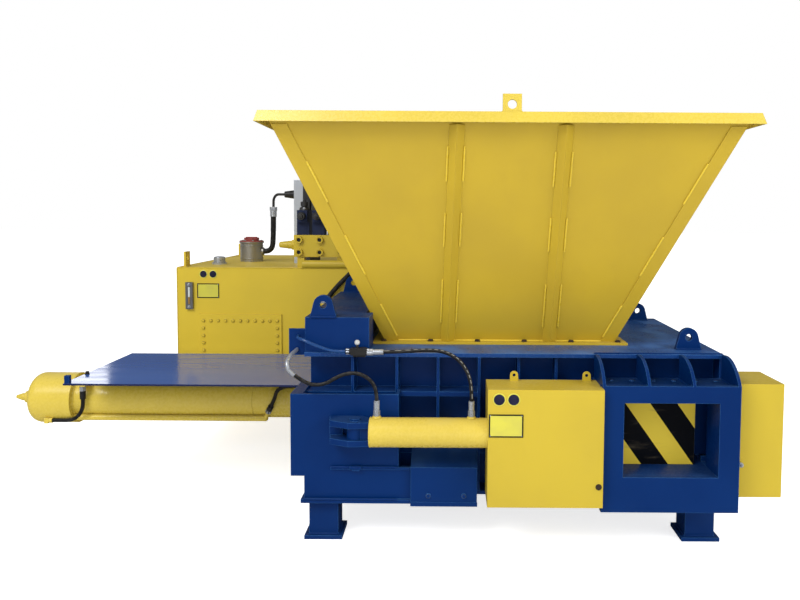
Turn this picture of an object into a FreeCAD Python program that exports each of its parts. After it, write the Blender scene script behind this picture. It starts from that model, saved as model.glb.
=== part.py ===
import FreeCAD, Part
import math
import os

# Two-ram recycling baler: a horizontal press for scrap metal.
#
# A main ram runs along +X in a low press chamber and cuts the scrap against a shear blade. A cross ram
# runs along -Y and pushes the finished bale out of the window at the right of the front side, past a
# gate that slides along X. A flared hopper feeds the chamber from above, and an oil tank with the power
# unit stands behind the left end. Millimetres, +X right along the machine, +Y away from the operator's
# side, +Z up. Sizes are first given from the front face of the window plate (Y 0), the middle of the
# long side (X 0) and the ground (Z 0). The finished pieces are moved so that the origin lies on the
# ground under the middle of the machine's box.

os.makedirs("parts", exist_ok=True)
Vec = FreeCAD.Vector

# ---------------------------------------------------------------- driving sizes
# press chamber and bale window
window_left = 867.0
window_width = 475.0
window_floor = 381.0
window_height = 375.0
window_right = window_left + window_width
window_top = window_floor + window_height
chamber_front = 400.0
chamber_depth = 900.0
chamber_back = chamber_front + chamber_depth
ram_stroke = 1200.0
ram_height = 352.0
ram_length = 300.0
slide_gap = 0.5
# body
body_left = -762.0
body_right = 1446.0
body_front = 240.0
body_back = 1565.0
body_bottom = 200.0
deck_top = 954.0
deck_plate = 20.0
wall_plate = 30.0
floor_plate = 30.0
rib_plate = 14.0
rail_height = 24.0
rail_level = 726.0
# window plate and gate
plate_left = 760.0
plate_bottom = 203.0
plate_top = 841.0
plate_thick = 40.0
gusset_plate = 16.0
gate_front = 203.0
gate_thick = 56.0
gate_length = 618.0
gate_right = 1286.0
gate_close = 85.0
gate_open = 420.0
gate_top = 792.0
guide_wall = 16.0
# main cylinder
main_axis_y = chamber_front + chamber_depth / 2
main_axis_z = window_floor + slide_gap + ram_height / 2
main_barrel_od = 228.0
main_barrel_id = 180.0
main_head_od = 300.0
main_head_length = 272.0
main_head_left = -2515.0
main_rod_d = 120.0
tail_length = 1785.0
tail_thick = 10.0
# cross cylinder
cross_ram_length = 300.0
cross_barrel_od = 200.0
cross_barrel_id = 160.0
cross_rod_d = 100.0
# gate cylinder
gate_axis_y = 38.0
gate_axis_z = 592.0
gate_barrel_od = 148.0
gate_barrel_id = 100.0
gate_barrel_left = -395.0
gate_rod_d = 56.0
# hopper
hopper_mid_x = 285.0
hopper_mid_y = 880.0
flange_width = 1430.0
flange_depth = 742.0
flange_plate = 13.0
flange_lip = 62.0
rim_width = 2440.0
rim_depth = 1772.0
rim_top = 2181.0
rim_height = 54.0
rim_step = 16.0
hopper_sheet = 8.0
# legs
leg_side = 150.0
foot_side = 196.0
foot_plate = 20.0
leg_left_x = -648.0
leg_right_x = 1305.0
leg_front_y = 224.0
leg_back_y = 1440.0
# guards
guard_sheet = 4.0
guard_left_x = 190.0
guard_front = -45.0
guard_bottom = 242.0
guard_top = 830.0
right_guard_x = 1707.0
right_guard_front = 112.0
right_guard_back = 422.0
# tank and power unit
tank_left = -1927.0
tank_right = -327.0
tank_front = 1620.0
tank_depth = 1600.0
tank_bottom = 300.0
tank_top = 1295.0
tank_sheet = 6.0
# small hardware
running_gap = 0.05
bolt_head = 24.0
bolt_height = 10.0
hose_d = 19.0
ram_hose_d = 22.0

pieces = {}


# ---------------------------------------------------------------- helpers
def box(x0, x1, y0, y1, z0, z1):
    """A block between two corners."""
    return Part.makeBox(x1 - x0, y1 - y0, z1 - z0, Vec(x0, y0, z0))


def rod(start, axis, diameter, length):
    """A round bar from a start point along an axis."""
    return Part.makeCylinder(diameter / 2, length, Vec(*start), Vec(*axis))


def tube(start, axis, outer, inner, length):
    """A round pipe from a start point along an axis."""
    return rod(start, axis, outer, length).cut(rod(start, axis, inner, length))


def hexagon(centre, axis, across, height):
    """A hexagon prism whose foot is centred on a point and grows along an axis."""
    radius = across / math.sqrt(3)
    ring = [Vec(radius * math.cos(math.radians(60 * k)), radius * math.sin(math.radians(60 * k)), 0)
            for k in range(6)]
    solid = Part.Face(Part.makePolygon(ring + ring[:1])).extrude(Vec(0, 0, height))
    turn = FreeCAD.Rotation(Vec(0, 0, 1), Vec(*axis))
    solid.Placement = FreeCAD.Placement(Vec(*centre), turn)
    return solid


def prism(points, direction):
    """A flat outline of corner points pushed along a direction."""
    corners = [Vec(*point) for point in points]
    return Part.Face(Part.makePolygon(corners + corners[:1])).extrude(Vec(*direction))


def joined(solids):
    """Solids welded into one, with the seams on shared planes removed."""
    first = solids[0]
    if len(solids) == 1:
        return first
    return first.fuse(solids[1:]).removeSplitter()


def hose(points, diameter, name):
    """A round hose along straight runs and tangent arcs through a list of points."""
    corners = [Vec(*point) for point in points]
    edges = []
    radii = []
    start = corners[0]
    for before, corner, after in zip(corners, corners[1:], corners[2:]):
        into = (corner - before).normalize()
        away = (after - corner).normalize()
        turn = into.getAngle(away)
        shorter = min((corner - before).Length, (after - corner).Length)
        reach = 0.45 * shorter
        radii.append(reach / math.tan(turn / 2))
        arc_start = corner - into * reach
        arc_end = corner + away * reach
        middle = (away - into).normalize() * (radii[-1] / math.cos(turn / 2) - radii[-1])
        edges.append(Part.LineSegment(start, arc_start).toShape())
        edges.append(Part.Arc(arc_start, corner + middle, arc_end).toShape())
        start = arc_end
    edges.append(Part.LineSegment(start, corners[-1]).toShape())
    path = Part.Wire(edges)
    along = (corners[1] - corners[0]).normalize()
    ring = Part.Wire(Part.makeCircle(diameter / 2, corners[0], along))
    solid = path.makePipeShell([ring], True, True)
    share = solid.Volume / (math.pi * diameter ** 2 / 4 * path.Length)
    print(f"{name}: length {path.Length:.0f}, least radius {min(radii):.0f}, volume share {share:.4f}")
    return solid


# ---------------------------------------------------------------- press body
body_floor_z = body_bottom + deck_plate
under_floor = window_floor - floor_plate
under_deck = deck_top - deck_plate
skin_front = chamber_front - wall_plate
skin_back = chamber_back + wall_plate
ram_face = window_left - slide_gap - ram_stroke
ram_back = ram_face - ram_length
ram_bottom = window_floor + slide_gap
ram_top = ram_bottom + ram_height
tail_top = ram_top + tail_thick
head_plate_left = -812.0
head_plate_thick = 60.0
head_plate_right = head_plate_left + head_plate_thick
rib_places = [-516.0, -283.0, -66.0, 150.0, 361.0, 560.0]
throat_left = ram_face + 12.0
throat_front = 580.0
throat_back = 1180.0
blade_size = 40.0
blade_height = 50.0
blade_left = window_left - blade_size
blade_bottom = tail_top + slide_gap
beam_right = window_left + 50.0
throat_plate = 16.0
guide_front = gate_front - slide_gap
guide_back = gate_front + gate_thick + slide_gap
wall_right = window_right + wall_plate

# welded bed: bottom plate with long and cross webs
bed = [box(body_left + 19, body_right, body_front, body_back, body_bottom, body_floor_z)]
for web_y in (skin_front, (chamber_front + chamber_back) / 2, chamber_back):
    bed.append(box(body_left + 19, body_right, web_y, web_y + wall_plate, body_floor_z, under_floor))
for web_x in (body_left + 19, window_left - 20, body_right - 20):
    bed.append(box(web_x, web_x + 20, skin_front, skin_back, body_floor_z, under_floor))
pieces["base_frame"] = joined(bed)

# chamber floor with a tongue that runs out under the window
pieces["chamber_floor"] = joined([
    box(head_plate_right, wall_right, skin_front, skin_back, under_floor, window_floor),
    box(window_left, window_right, plate_thick, skin_front, under_floor, window_floor)])


def side_wall(skin_y, rib_near, rib_far):
    """Ribbed wall: a skin plate, upright ribs, and rails that stiffen them."""
    skin = box(head_plate_right, body_right, skin_y, skin_y + wall_plate, window_floor, under_deck)
    passage = box(window_left, window_right, skin_y - 1, skin_y + wall_plate + 1,
                  window_floor - 1, window_top)
    solids = [skin.cut(passage)]
    for rib_x in rib_places + [body_right - rib_plate]:
        solids.append(box(rib_x, rib_x + rib_plate, rib_near(rib_x), rib_far(rib_x),
                          body_floor_z, under_deck))
    low, high = sorted((rib_near(body_left), rib_far(body_left)))
    rail_ends = [head_plate_right] + [rib_x + rib_plate for rib_x in rib_places]
    rail_starts = [rib_x for rib_x in rib_places] + [guard_left_x - 4]
    for x0, x1 in zip(rail_ends, rail_starts):
        if x1 > x0 and x1 < guard_left_x:
            solids.append(box(x0, x1, low, high, rail_level, rail_level + rail_height))
    return Part.makeCompound(solids)


def front_rib_start(rib_x):
    """Ribs behind the gate start behind its guide."""
    return body_front if rib_x < guard_left_x else guide_back + guide_wall


pieces["front_wall"] = side_wall(skin_front, front_rib_start, lambda rib_x: skin_front)
pieces["rear_wall"] = side_wall(chamber_back, lambda rib_x: skin_back, lambda rib_x: body_back)

# end wall that takes the main ram's thrust: inner plate, outer plate and ribs between them
end_solids = [box(window_right, wall_right, chamber_front, chamber_back, window_floor, under_deck)]
outer_plate = box(body_right - rib_plate, body_right, chamber_front, chamber_back,
                  under_floor, under_deck)
end_solids.append(outer_plate)
for k in range(4):
    rib_y = chamber_front + 60 + k * (chamber_depth - 120 - rib_plate) / 3
    end_solids.append(box(wall_right, body_right - rib_plate, rib_y, rib_y + rib_plate,
                          window_floor, under_deck))
pieces["end_wall"] = joined(end_solids)

# deck plate with the throat opening, and throat plates that hang from it
deck = box(body_left, body_right, body_front, body_back, under_deck, deck_top)
throat_right = blade_left
deck = deck.cut(box(throat_left, throat_right, throat_front, throat_back, under_deck - 1, deck_top + 1))
pieces["top_deck"] = deck
throat_low = tail_top + 6
throat = box(throat_left - throat_plate, throat_right, throat_front - throat_plate,
             throat_back + throat_plate, throat_low, under_deck)
throat = throat.cut(box(throat_left, throat_right + 1, throat_front, throat_back,
                        throat_low - 1, under_deck + 1))
pieces["throat_box"] = throat

# roof of the bale chamber with the shear beam on its left edge, and the two blades
pieces["chamber_roof"] = joined([
    box(window_left, window_right, chamber_front, chamber_back, window_top, window_top + 30),
    box(window_left, beam_right, chamber_front, chamber_back, window_top, blade_bottom + blade_height),
    box(blade_left, beam_right, chamber_front, chamber_back, blade_bottom + blade_height, under_deck)])
ram_front = chamber_front + slide_gap
ram_rear = chamber_back - slide_gap
pieces["shear_blade"] = box(blade_left, window_left, ram_front, ram_rear,
                            blade_bottom, blade_bottom + blade_height)
pieces["ram_blade"] = box(ram_face - blade_size, ram_face, ram_front, ram_rear,
                          ram_top - blade_height, ram_top)

# head plate that carries the main cylinder, with a slot above for the tail plate
head_plate_front = 140.0
head_plate_top = 763.0
head_plate_low = 337.0
gland_d = 250.0
head_plate = box(head_plate_left, head_plate_right, head_plate_front, body_back,
                 head_plate_low, head_plate_top)
tail_slot = box(head_plate_left - 1, head_plate_right + 1, chamber_front - 6, chamber_back + 6,
                ram_top - 4, head_plate_top + 1)
head_bore = rod((head_plate_left - 1, main_axis_y, main_axis_z), (1, 0, 0), gland_d, head_plate_thick + 2)
pieces["head_plate"] = head_plate.cut(tail_slot).cut(head_bore)

# plated box across the top of the left end, which ties the side walls together
tie_left = body_left
tie_right = hopper_mid_x - flange_width / 2 + 6
tie_front = 264.0
tie_top = 1137.0
tie_wall = 20.0
tie_step_y = 470.0
tie_step_x = tie_right - 38
tie = joined([box(tie_left, tie_right, tie_front, tie_step_y, deck_top, tie_top),
              box(tie_left, tie_step_x, tie_step_y, body_back, deck_top, tie_top)])
tie_room = joined([
    box(tie_left + tie_wall, tie_right - tie_wall, tie_front + tie_wall, tie_step_y - tie_wall,
        deck_top + tie_wall, tie_top - tie_wall),
    box(tie_left + tie_wall, tie_step_x - tie_wall, tie_step_y - tie_wall, body_back - tie_wall,
        deck_top + tie_wall, tie_top - tie_wall)])
pieces["top_tie_box"] = tie.cut(tie_room)

# front plate of the left end, which carries the gate cylinder
side_plate_right = -258.0
side_plate_y = 120.0
side_plate_inner = -743.0
sill_top = 386.0
cover_left = -194.0
side_plate = prism([(head_plate_left, side_plate_y, head_plate_low),
                    (side_plate_inner, side_plate_y, head_plate_low),
                    (side_plate_inner, side_plate_y, body_floor_z),
                    (cover_left, side_plate_y, body_floor_z),
                    (cover_left, side_plate_y, sill_top),
                    (side_plate_right, side_plate_y, sill_top),
                    (side_plate_right, side_plate_y, head_plate_top),
                    (head_plate_left, side_plate_y, head_plate_top)],
                   (0, head_plate_front - side_plate_y, 0))
side_parts = [side_plate,
              box(side_plate_right - rib_plate, side_plate_right, head_plate_front, body_front,
                  body_floor_z, head_plate_top),
              box(side_plate_inner - 16, cover_left, side_plate_y - 16, body_front,
                  body_bottom, body_floor_z),
              box(-606.0, cover_left, side_plate_y - 10, side_plate_y, sill_top - 12, sill_top)]
pieces["cylinder_side_plate"] = joined(side_parts)

# window plate with its tunnel, top shelf and curved gussets
plate_right = body_right
reveal = 16.0
shelf_z = 812.0
front_plate = box(plate_left, plate_right, 0, plate_thick, plate_bottom, plate_top)
tunnel = box(window_left - reveal, window_right + reveal, plate_thick, guide_front - guide_wall,
             under_floor, window_top + reveal)
opening = box(window_left, window_right, -1, guide_front, window_floor, window_top)
tongue_room = box(window_left, window_right, plate_thick, guide_front, under_floor - 1, window_floor)
shelf = box(plate_left, plate_right, plate_thick, guide_back + guide_wall, shelf_z, shelf_z + 12)


def gusset(left_x):
    """Curved stiffener from the deck's edge down to the top of the window plate."""
    deck_point = Vec(left_x, body_front, deck_top)
    bulge = Vec(left_x, 72.0, 919.0)
    nose = Vec(left_x, 0, plate_top)
    corners = [nose, Vec(left_x, plate_thick, plate_top), Vec(left_x, plate_thick, shelf_z + 12),
               Vec(left_x, body_front, shelf_z + 12), deck_point]
    edges = [Part.Arc(deck_point, bulge, nose).toShape()]
    edges += [Part.LineSegment(a, b).toShape() for a, b in zip(corners, corners[1:])]
    return Part.Face(Part.Wire(edges)).extrude(Vec(gusset_plate, 0, 0))


gusset_step = (plate_right - gusset_plate - plate_left) / 3
gussets = [gusset(plate_left + gusset_step * k) for k in range(4)]
pieces["window_frame"] = joined([front_plate, tunnel.cut(tongue_room), shelf] + gussets).cut(opening)

# gate guides: a floor strip and keepers on both sides of the window, and a channel above
guide_left = 236.0
keeper_top = window_floor + 26
lower_guides = []
for x0, x1 in ((guide_left, window_left), (window_right, body_right)):
    lower_guides.append(box(x0, x1, guide_front - guide_wall, guide_back + guide_wall,
                            under_floor, window_floor))
    lower_guides.append(box(x0, x1, guide_back, guide_back + guide_wall, window_floor, keeper_top))
pieces["lower_gate_guide"] = Part.makeCompound([
    joined(lower_guides[:2]), joined(lower_guides[2:])])
upper = box(guide_left, body_right, guide_front - guide_wall, guide_back + guide_wall,
            window_top + reveal, shelf_z)
upper_room = box(guide_left - 1, body_right + 1, guide_front, guide_back, window_top, gate_top + slide_gap)
pieces["upper_gate_guide"] = upper.cut(upper_room)

# legs: square tube post on a foot plate
leg_places = {"leg_front_left": (leg_left_x, leg_front_y), "leg_front_right": (leg_right_x, leg_front_y),
              "leg_back_left": (leg_left_x, leg_back_y), "leg_back_right": (leg_right_x, leg_back_y)}
leg_wall = 10.0
for name, (leg_x, leg_y) in leg_places.items():
    half = leg_side / 2
    foot = foot_side / 2
    post = box(leg_x - half, leg_x + half, leg_y - half, leg_y + half, foot_plate, body_bottom)
    post = post.cut(box(leg_x - half + leg_wall, leg_x + half - leg_wall, leg_y - half + leg_wall,
                        leg_y + half - leg_wall, foot_plate - 1, body_bottom + 1))
    plate = box(leg_x - foot, leg_x + foot, leg_y - foot, leg_y + foot, 0, foot_plate)
    pieces[name] = joined([post, plate])

# lifting lugs
lug_thick = 30.0
lug_radius = 52.0
lug_hole_d = 38.0
lug_rise = 66.0
lug_base = 140.0


def lug(mid_x, front_y, foot_z, radius, base, rise, hole_d, thick):
    """Upright eye plate: a tapered foot under a round head with a hole."""
    centre = Vec(mid_x, front_y, foot_z + rise)
    side = math.atan2(base / 2 - radius * 0.98, rise) + 0.05
    left = centre + Vec(-radius * math.cos(side), 0, radius * math.sin(side))
    right = centre + Vec(radius * math.cos(side), 0, radius * math.sin(side))
    foot_left = Vec(mid_x - base / 2, front_y, foot_z)
    foot_right = Vec(mid_x + base / 2, front_y, foot_z)
    edges = [Part.Arc(left, centre + Vec(0, 0, radius), right).toShape()]
    ring = [right, foot_right, foot_left, left]
    edges += [Part.LineSegment(a, b).toShape() for a, b in zip(ring, ring[1:])]
    body = Part.Face(Part.Wire(edges)).extrude(Vec(0, thick, 0))
    return body.cut(rod((mid_x, front_y - 1, foot_z + rise), (0, 1, 0), hole_d, thick + 2))


lug_places = [(-667.0, tie_front, tie_top), (-667.0, 1500.0, tie_top),
              (1305.0, 395.0, deck_top), (1305.0, 1515.0, deck_top)]
pieces["lifting_lugs"] = Part.makeCompound([
    lug(x, y, z, lug_radius, lug_base, lug_rise, lug_hole_d, lug_thick) for x, y, z in lug_places])

# ---------------------------------------------------------------- main ram and cylinder
ram = box(ram_back, ram_face, ram_front, ram_rear, ram_bottom, ram_top)
ram_wall = 28.0
ram_pocket = box(ram_back - 1, ram_face - 70, ram_front + ram_wall, ram_rear - ram_wall,
                 ram_bottom + ram_wall, ram_top - ram_wall)
ram = ram.cut(ram_pocket).cut(pieces["ram_blade"])
rod_seat = 24.0
rod_socket = rod((ram_face - 70, main_axis_y, main_axis_z), (1, 0, 0), main_rod_d, rod_seat)
pieces["main_ram"] = ram.cut(rod_socket)
pieces["tail_plate"] = box(ram_face - tail_length, ram_face, ram_front, ram_rear, ram_top, tail_top)

head_right = main_head_left + main_head_length
barrel_right = head_plate_left - 30.0
gland_length = 150.0
piston_length = 110.0
main_piston_left = head_right - 60.0


def along_x(x):
    """A point on the main cylinder's axis."""
    return (x, main_axis_y, main_axis_z)


edge_round = 62.0
head = rod(along_x(main_head_left), (1, 0, 0), main_head_od, main_head_length)
left_ring = [edge for edge in head.Edges
             if edge.BoundBox.XMax < main_head_left + 1 and edge.BoundBox.YLength > main_head_od / 2]
head = head.makeFillet(edge_round, left_ring)
head = head.cut(rod(along_x(head_right - 100), (1, 0, 0), main_barrel_od, 101))
head = head.cut(rod(along_x(head_right - 130), (1, 0, 0), main_barrel_id, 31))
pieces["main_cylinder_head"] = head
nozzle_tip = -2633.0
nozzle = joined([rod(along_x(-2572), (1, 0, 0), 70, main_head_left + 2572),
                 rod(along_x(-2597), (1, 0, 0), 44, 25)])
nozzle_cone = Part.makeCone(10, 22, -2597 - nozzle_tip, Vec(*along_x(nozzle_tip)), Vec(1, 0, 0))
pieces["head_nozzle"] = joined([nozzle, nozzle_cone])
barrel = tube(along_x(head_right - 100), (1, 0, 0), main_barrel_od, main_barrel_id,
              barrel_right - head_right + 100)
seam_x = -1173.0
groove = tube(along_x(seam_x), (1, 0, 0), main_barrel_od + 2, main_barrel_od - 5, 4)
pieces["main_cylinder_barrel"] = barrel.cut(groove)
gland = joined([tube(along_x(barrel_right), (1, 0, 0), 292, main_rod_d + 2 * running_gap, 30),
                tube(along_x(head_plate_left), (1, 0, 0), gland_d, main_rod_d + 2 * running_gap,
                     head_plate_thick)])
inner_gland = tube(along_x(barrel_right - gland_length + 30), (1, 0, 0), main_barrel_id,
                   main_rod_d + 2 * running_gap, gland_length - 30)
pieces["main_cylinder_gland"] = joined([gland, inner_gland])
rod_left = main_piston_left + piston_length
pieces["main_piston"] = rod(along_x(main_piston_left), (1, 0, 0),
                            main_barrel_id - 2 * running_gap, piston_length)
pieces["main_piston_rod"] = rod(along_x(rod_left), (1, 0, 0), main_rod_d,
                                ram_face - 70 + rod_seat - rod_left)
flange_bolt_d = 24.0
flange_bolts = []
for k in range(10):
    angle = math.radians(36 * k + 18)
    centre = (barrel_right, main_axis_y + 131 * math.cos(angle), main_axis_z + 131 * math.sin(angle))
    flange_bolts.append(hexagon(centre, (-1, 0, 0), 24, 12))
pieces["gland_bolts"] = Part.makeCompound(flange_bolts)

# ---------------------------------------------------------------- cross ram and cylinder
cross_mid_x = window_left + window_width / 2
cross_mid_z = window_floor + window_height / 2
cross_face = chamber_back + slide_gap
cross_left = window_left + slide_gap
cross_right = window_right - slide_gap
cross_box_wall = 20.0
pieces["cross_ram_guide"] = box(
    window_left - cross_box_wall, window_right + cross_box_wall, chamber_back + wall_plate, body_back,
    window_floor - floor_plate, window_top + 30).cut(box(
        window_left, window_right, chamber_back, body_back + 1, window_floor, window_top))
cross_length = body_back - cross_face - 20.0
cross_ram = box(cross_left, cross_right, cross_face, cross_face + cross_length,
                window_floor + slide_gap, window_top - slide_gap)
cross_pocket = box(cross_left + ram_wall, cross_right - ram_wall, cross_face + 60,
                   cross_face + cross_length + 1, window_floor + slide_gap + ram_wall,
                   window_top - slide_gap - ram_wall)


def along_y(y):
    """A point on the cross cylinder's axis."""
    return (cross_mid_x, y, cross_mid_z)


cross_ram = cross_ram.cut(cross_pocket)
pieces["cross_ram"] = cross_ram.cut(rod(along_y(cross_face + 40), (0, 1, 0), cross_rod_d, 21))
cross_plate_thick = 50.0
cross_plate_back = body_back + cross_plate_thick
cross_plate = box(window_left - 87, body_right, body_back, cross_plate_back, body_floor_z, deck_top)
pieces["cross_head_plate"] = cross_plate.cut(rod(along_y(body_back - 1), (0, 1, 0), 190,
                                                 cross_plate_thick + 2))
cross_stroke = cross_face - guide_back - guide_wall - 6.0
cross_gland_end = cross_plate_back + 70
cross_barrel_length = cross_stroke + 240.0
pieces["cross_cylinder_gland"] = joined([
    tube(along_y(body_back), (0, 1, 0), 190, cross_rod_d + 2 * running_gap, cross_plate_thick),
    tube(along_y(cross_plate_back), (0, 1, 0), 250, cross_rod_d + 2 * running_gap, 30),
    tube(along_y(cross_plate_back + 30), (0, 1, 0), cross_barrel_id,
         cross_rod_d + 2 * running_gap, 60)])
cross_barrel_start = cross_plate_back + 30
pieces["cross_cylinder_barrel"] = tube(along_y(cross_barrel_start), (0, 1, 0), cross_barrel_od,
                                       cross_barrel_id, cross_barrel_length)
cross_barrel_end = cross_barrel_start + cross_barrel_length
cap_length = 60.0
pieces["cross_cylinder_cap"] = joined([
    rod(along_y(cross_barrel_end), (0, 1, 0), cross_barrel_od + 24, cap_length),
    rod(along_y(cross_barrel_end - 20), (0, 1, 0), cross_barrel_id, 21)])
cross_piston_length = 90.0
cross_piston_start = cross_barrel_end - 24 - cross_piston_length
pieces["cross_piston"] = rod(along_y(cross_piston_start), (0, 1, 0),
                             cross_barrel_id - 2 * running_gap, cross_piston_length)
pieces["cross_piston_rod"] = rod(along_y(cross_face + 40), (0, 1, 0), cross_rod_d,
                                 cross_piston_start - cross_face - 40)

# ---------------------------------------------------------------- gate and its cylinder
gate_left = gate_right - gate_length
gate_bottom = window_floor + slide_gap
gate_back = gate_front + gate_thick
pieces["gate_plate"] = box(gate_left, gate_right, gate_front, gate_back, gate_bottom, gate_top)
gate_inner_left = gate_barrel_left + 24.0
gate_barrel_right = guard_left_x + guard_sheet
gate_piston_length = 30.0


def gate_axis(x):
    """A point on the gate cylinder's axis."""
    return (x, gate_axis_y, gate_axis_z)


gate_barrel = rod(gate_axis(gate_barrel_left), (1, 0, 0), gate_barrel_od,
                  gate_barrel_right - gate_barrel_left)
gate_bore = rod(gate_axis(gate_inner_left), (1, 0, 0), gate_barrel_id,
                gate_barrel_right - gate_inner_left + 1)
gate_port_x = (-362.0, 112.0)
gate_top_z = gate_axis_z + gate_barrel_od / 2
gate_bosses = [rod((x, gate_axis_y, gate_axis_z + 20), (0, 0, 1), 40, gate_barrel_od / 2 - 20 + 9)
               for x in gate_port_x]
gate_barrel = joined([gate_barrel] + gate_bosses).cut(gate_bore)
pieces["gate_cylinder_barrel"] = gate_barrel
pieces["gate_cylinder_gland"] = joined([
    tube(gate_axis(gate_barrel_right), (1, 0, 0), gate_barrel_od - 6, gate_rod_d + 2 * running_gap, 10),
    tube(gate_axis(gate_barrel_right - 20), (1, 0, 0), gate_barrel_id, gate_rod_d + 2 * running_gap, 20)])
gate_piston_left = gate_inner_left + 4 + gate_open
pieces["gate_piston"] = rod(gate_axis(gate_piston_left), (1, 0, 0),
                            gate_barrel_id - 2 * running_gap, gate_piston_length)
rod_plate_thick = 28.0
rod_plate_left = gate_left - rod_plate_thick
gate_rod_left = gate_piston_left + gate_piston_length
pieces["gate_rod"] = rod(gate_axis(gate_rod_left), (1, 0, 0), gate_rod_d, rod_plate_left - gate_rod_left)
pieces["gate_rod_plate"] = box(rod_plate_left, gate_left, gate_axis_y - 40, gate_back,
                               gate_axis_z - 70, gate_axis_z + 70)
# fork at the cylinder's foot, its pin, and the bracket on the side plate
pin_x = -470.0
eye_radius = 42.0
eye = rod((pin_x, gate_axis_y, gate_axis_z - 30), (0, 0, 1), 2 * eye_radius, 60)
eye_neck = box(pin_x, gate_barrel_left, gate_axis_y - 30, gate_axis_y + 30,
               gate_axis_z - 30, gate_axis_z + 30)
pin_d = 40.0
pin_hole = rod((pin_x, gate_axis_y, gate_axis_z - 100), (0, 0, 1), pin_d + 2 * running_gap, 200)
pieces["gate_cylinder_eye"] = joined([eye, eye_neck]).cut(pin_hole)
bracket_back = side_plate_y
bracket = []
for z0 in (gate_axis_z + 30.5, gate_axis_z - 30.5 - 30):
    cheek = prism([(-606.0, bracket_back, z0), (-440.0, bracket_back, z0), (-400.0, gate_axis_y + 40, z0),
                   (-400.0, gate_axis_y - 46, z0), (-500.0, gate_axis_y - 56, z0),
                   (-596.0, gate_axis_y - 8, z0)], (0, 0, 30))
    bracket.append(cheek)
bracket.append(box(-606.0, -540.0, bracket_back - 30, bracket_back, gate_axis_z - 60.5, gate_axis_z + 60.5))
pieces["gate_bracket"] = joined(bracket).cut(pin_hole)
pieces["gate_pin"] = joined([
    rod((pin_x, gate_axis_y, gate_axis_z - 70), (0, 0, 1), pin_d, 134),
    rod((pin_x, gate_axis_y, gate_axis_z + 60.5), (0, 0, 1), pin_d + 16, 10)])

# ---------------------------------------------------------------- hopper
flange_top = deck_top + flange_plate
shell_low_w = flange_width - 2 * flange_lip
shell_low_d = flange_depth - 2 * flange_lip
rim_lip = 28.0
shell_high_w = rim_width - 2 * rim_lip
shell_high_d = rim_depth - 2 * rim_lip
sheet_level = hopper_sheet * 1.12
shell_top = rim_top - 6.0


def mitred_sides(low_w, low_d, high_w, high_d, low_in, high_in, z0, z1):
    """Four plates round the hopper's middle, mitred at the corners. Their outer widths and depths are given
    at the low and the high level, with how far they reach inwards there."""
    plates = []
    for turn in range(4):
        rings = []
        for width, depth, inward, z in ((low_w, low_d, low_in, z0), (high_w, high_d, high_in, z1)):
            outer = [(-width / 2, -depth / 2), (width / 2, -depth / 2), (width / 2, depth / 2),
                     (-width / 2, depth / 2)]
            inner = [(x - math.copysign(inward, x), y - math.copysign(inward, y)) for x, y in outer]
            here, after = turn, (turn + 1) % 4
            ring = [Vec(hopper_mid_x + x, hopper_mid_y + y, z)
                    for x, y in (outer[here], outer[after], inner[after], inner[here])]
            rings.append(Part.makePolygon(ring + ring[:1]))
        plates.append(Part.makeLoft(rings, True, True))
    return plates


pieces["hopper_shell"] = Part.makeCompound(mitred_sides(
    shell_low_w, shell_low_d, shell_high_w, shell_high_d, sheet_level, sheet_level, flange_top, shell_top))

# bottom flange with its row of clamping bolts
flange_in = flange_lip + sheet_level
flange = mitred_sides(flange_width, flange_depth, flange_width, flange_depth, flange_in, flange_in,
                      deck_top, flange_top)
hole_inset = 37.0
hole_columns = [hopper_mid_x - flange_width / 2 + 58 + k * (flange_width - 106) / 5 for k in range(6)]
hole_rows = [hopper_mid_y - flange_depth / 2 + hole_inset, hopper_mid_y + flange_depth / 2 - hole_inset]
flange_bolts = []
for hole_y in hole_rows:
    for hole_x in hole_columns:
        flange_bolts.append(hexagon((hole_x, hole_y, flange_top), (0, 0, 1), bolt_head, bolt_height))
pieces["hopper_flange"] = Part.makeCompound(flange)
pieces["flange_bolts"] = Part.makeCompound(flange_bolts)

# rim: a leaning lip with a flat top that covers the panels' edges
rim_low = rim_top - rim_height
lip_wall = 8.0
mouth_in = rim_lip + sheet_level
rim_lips = mitred_sides(rim_width + 2 * rim_step, rim_depth + 2 * rim_step, rim_width, rim_depth,
                        lip_wall, lip_wall, rim_low, rim_top)
rim_flats = mitred_sides(rim_width - 2 * lip_wall, rim_depth - 2 * lip_wall, rim_width - 2 * lip_wall,
                         rim_depth - 2 * lip_wall, mouth_in - lip_wall, mouth_in - lip_wall, shell_top, rim_top)
pieces["hopper_rim"] = Part.makeCompound(rim_lips + rim_flats)


def panel_point(share, side):
    """Depth of the front (-1) or back (+1) panel's outer face at a share of its height."""
    return hopper_mid_y + side * (shell_low_d + share * (shell_high_d - shell_low_d)) / 2


def leaning_bar(section, low_x, high_x, low_share, high_share, side):
    """A bar on a flared panel: a level section, given as across and outward, carried up the panel."""
    rings = []
    for share, mid_x in ((low_share, low_x), (high_share, high_x)):
        z = flange_top + share * (shell_top - flange_top)
        face_y = panel_point(share, side)
        ring = [Vec(mid_x + across, face_y + side * outward, z) for across, outward in section]
        rings.append(Part.makePolygon(ring + ring[:1]))
    return Part.makeLoft(rings, True, True)


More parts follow.
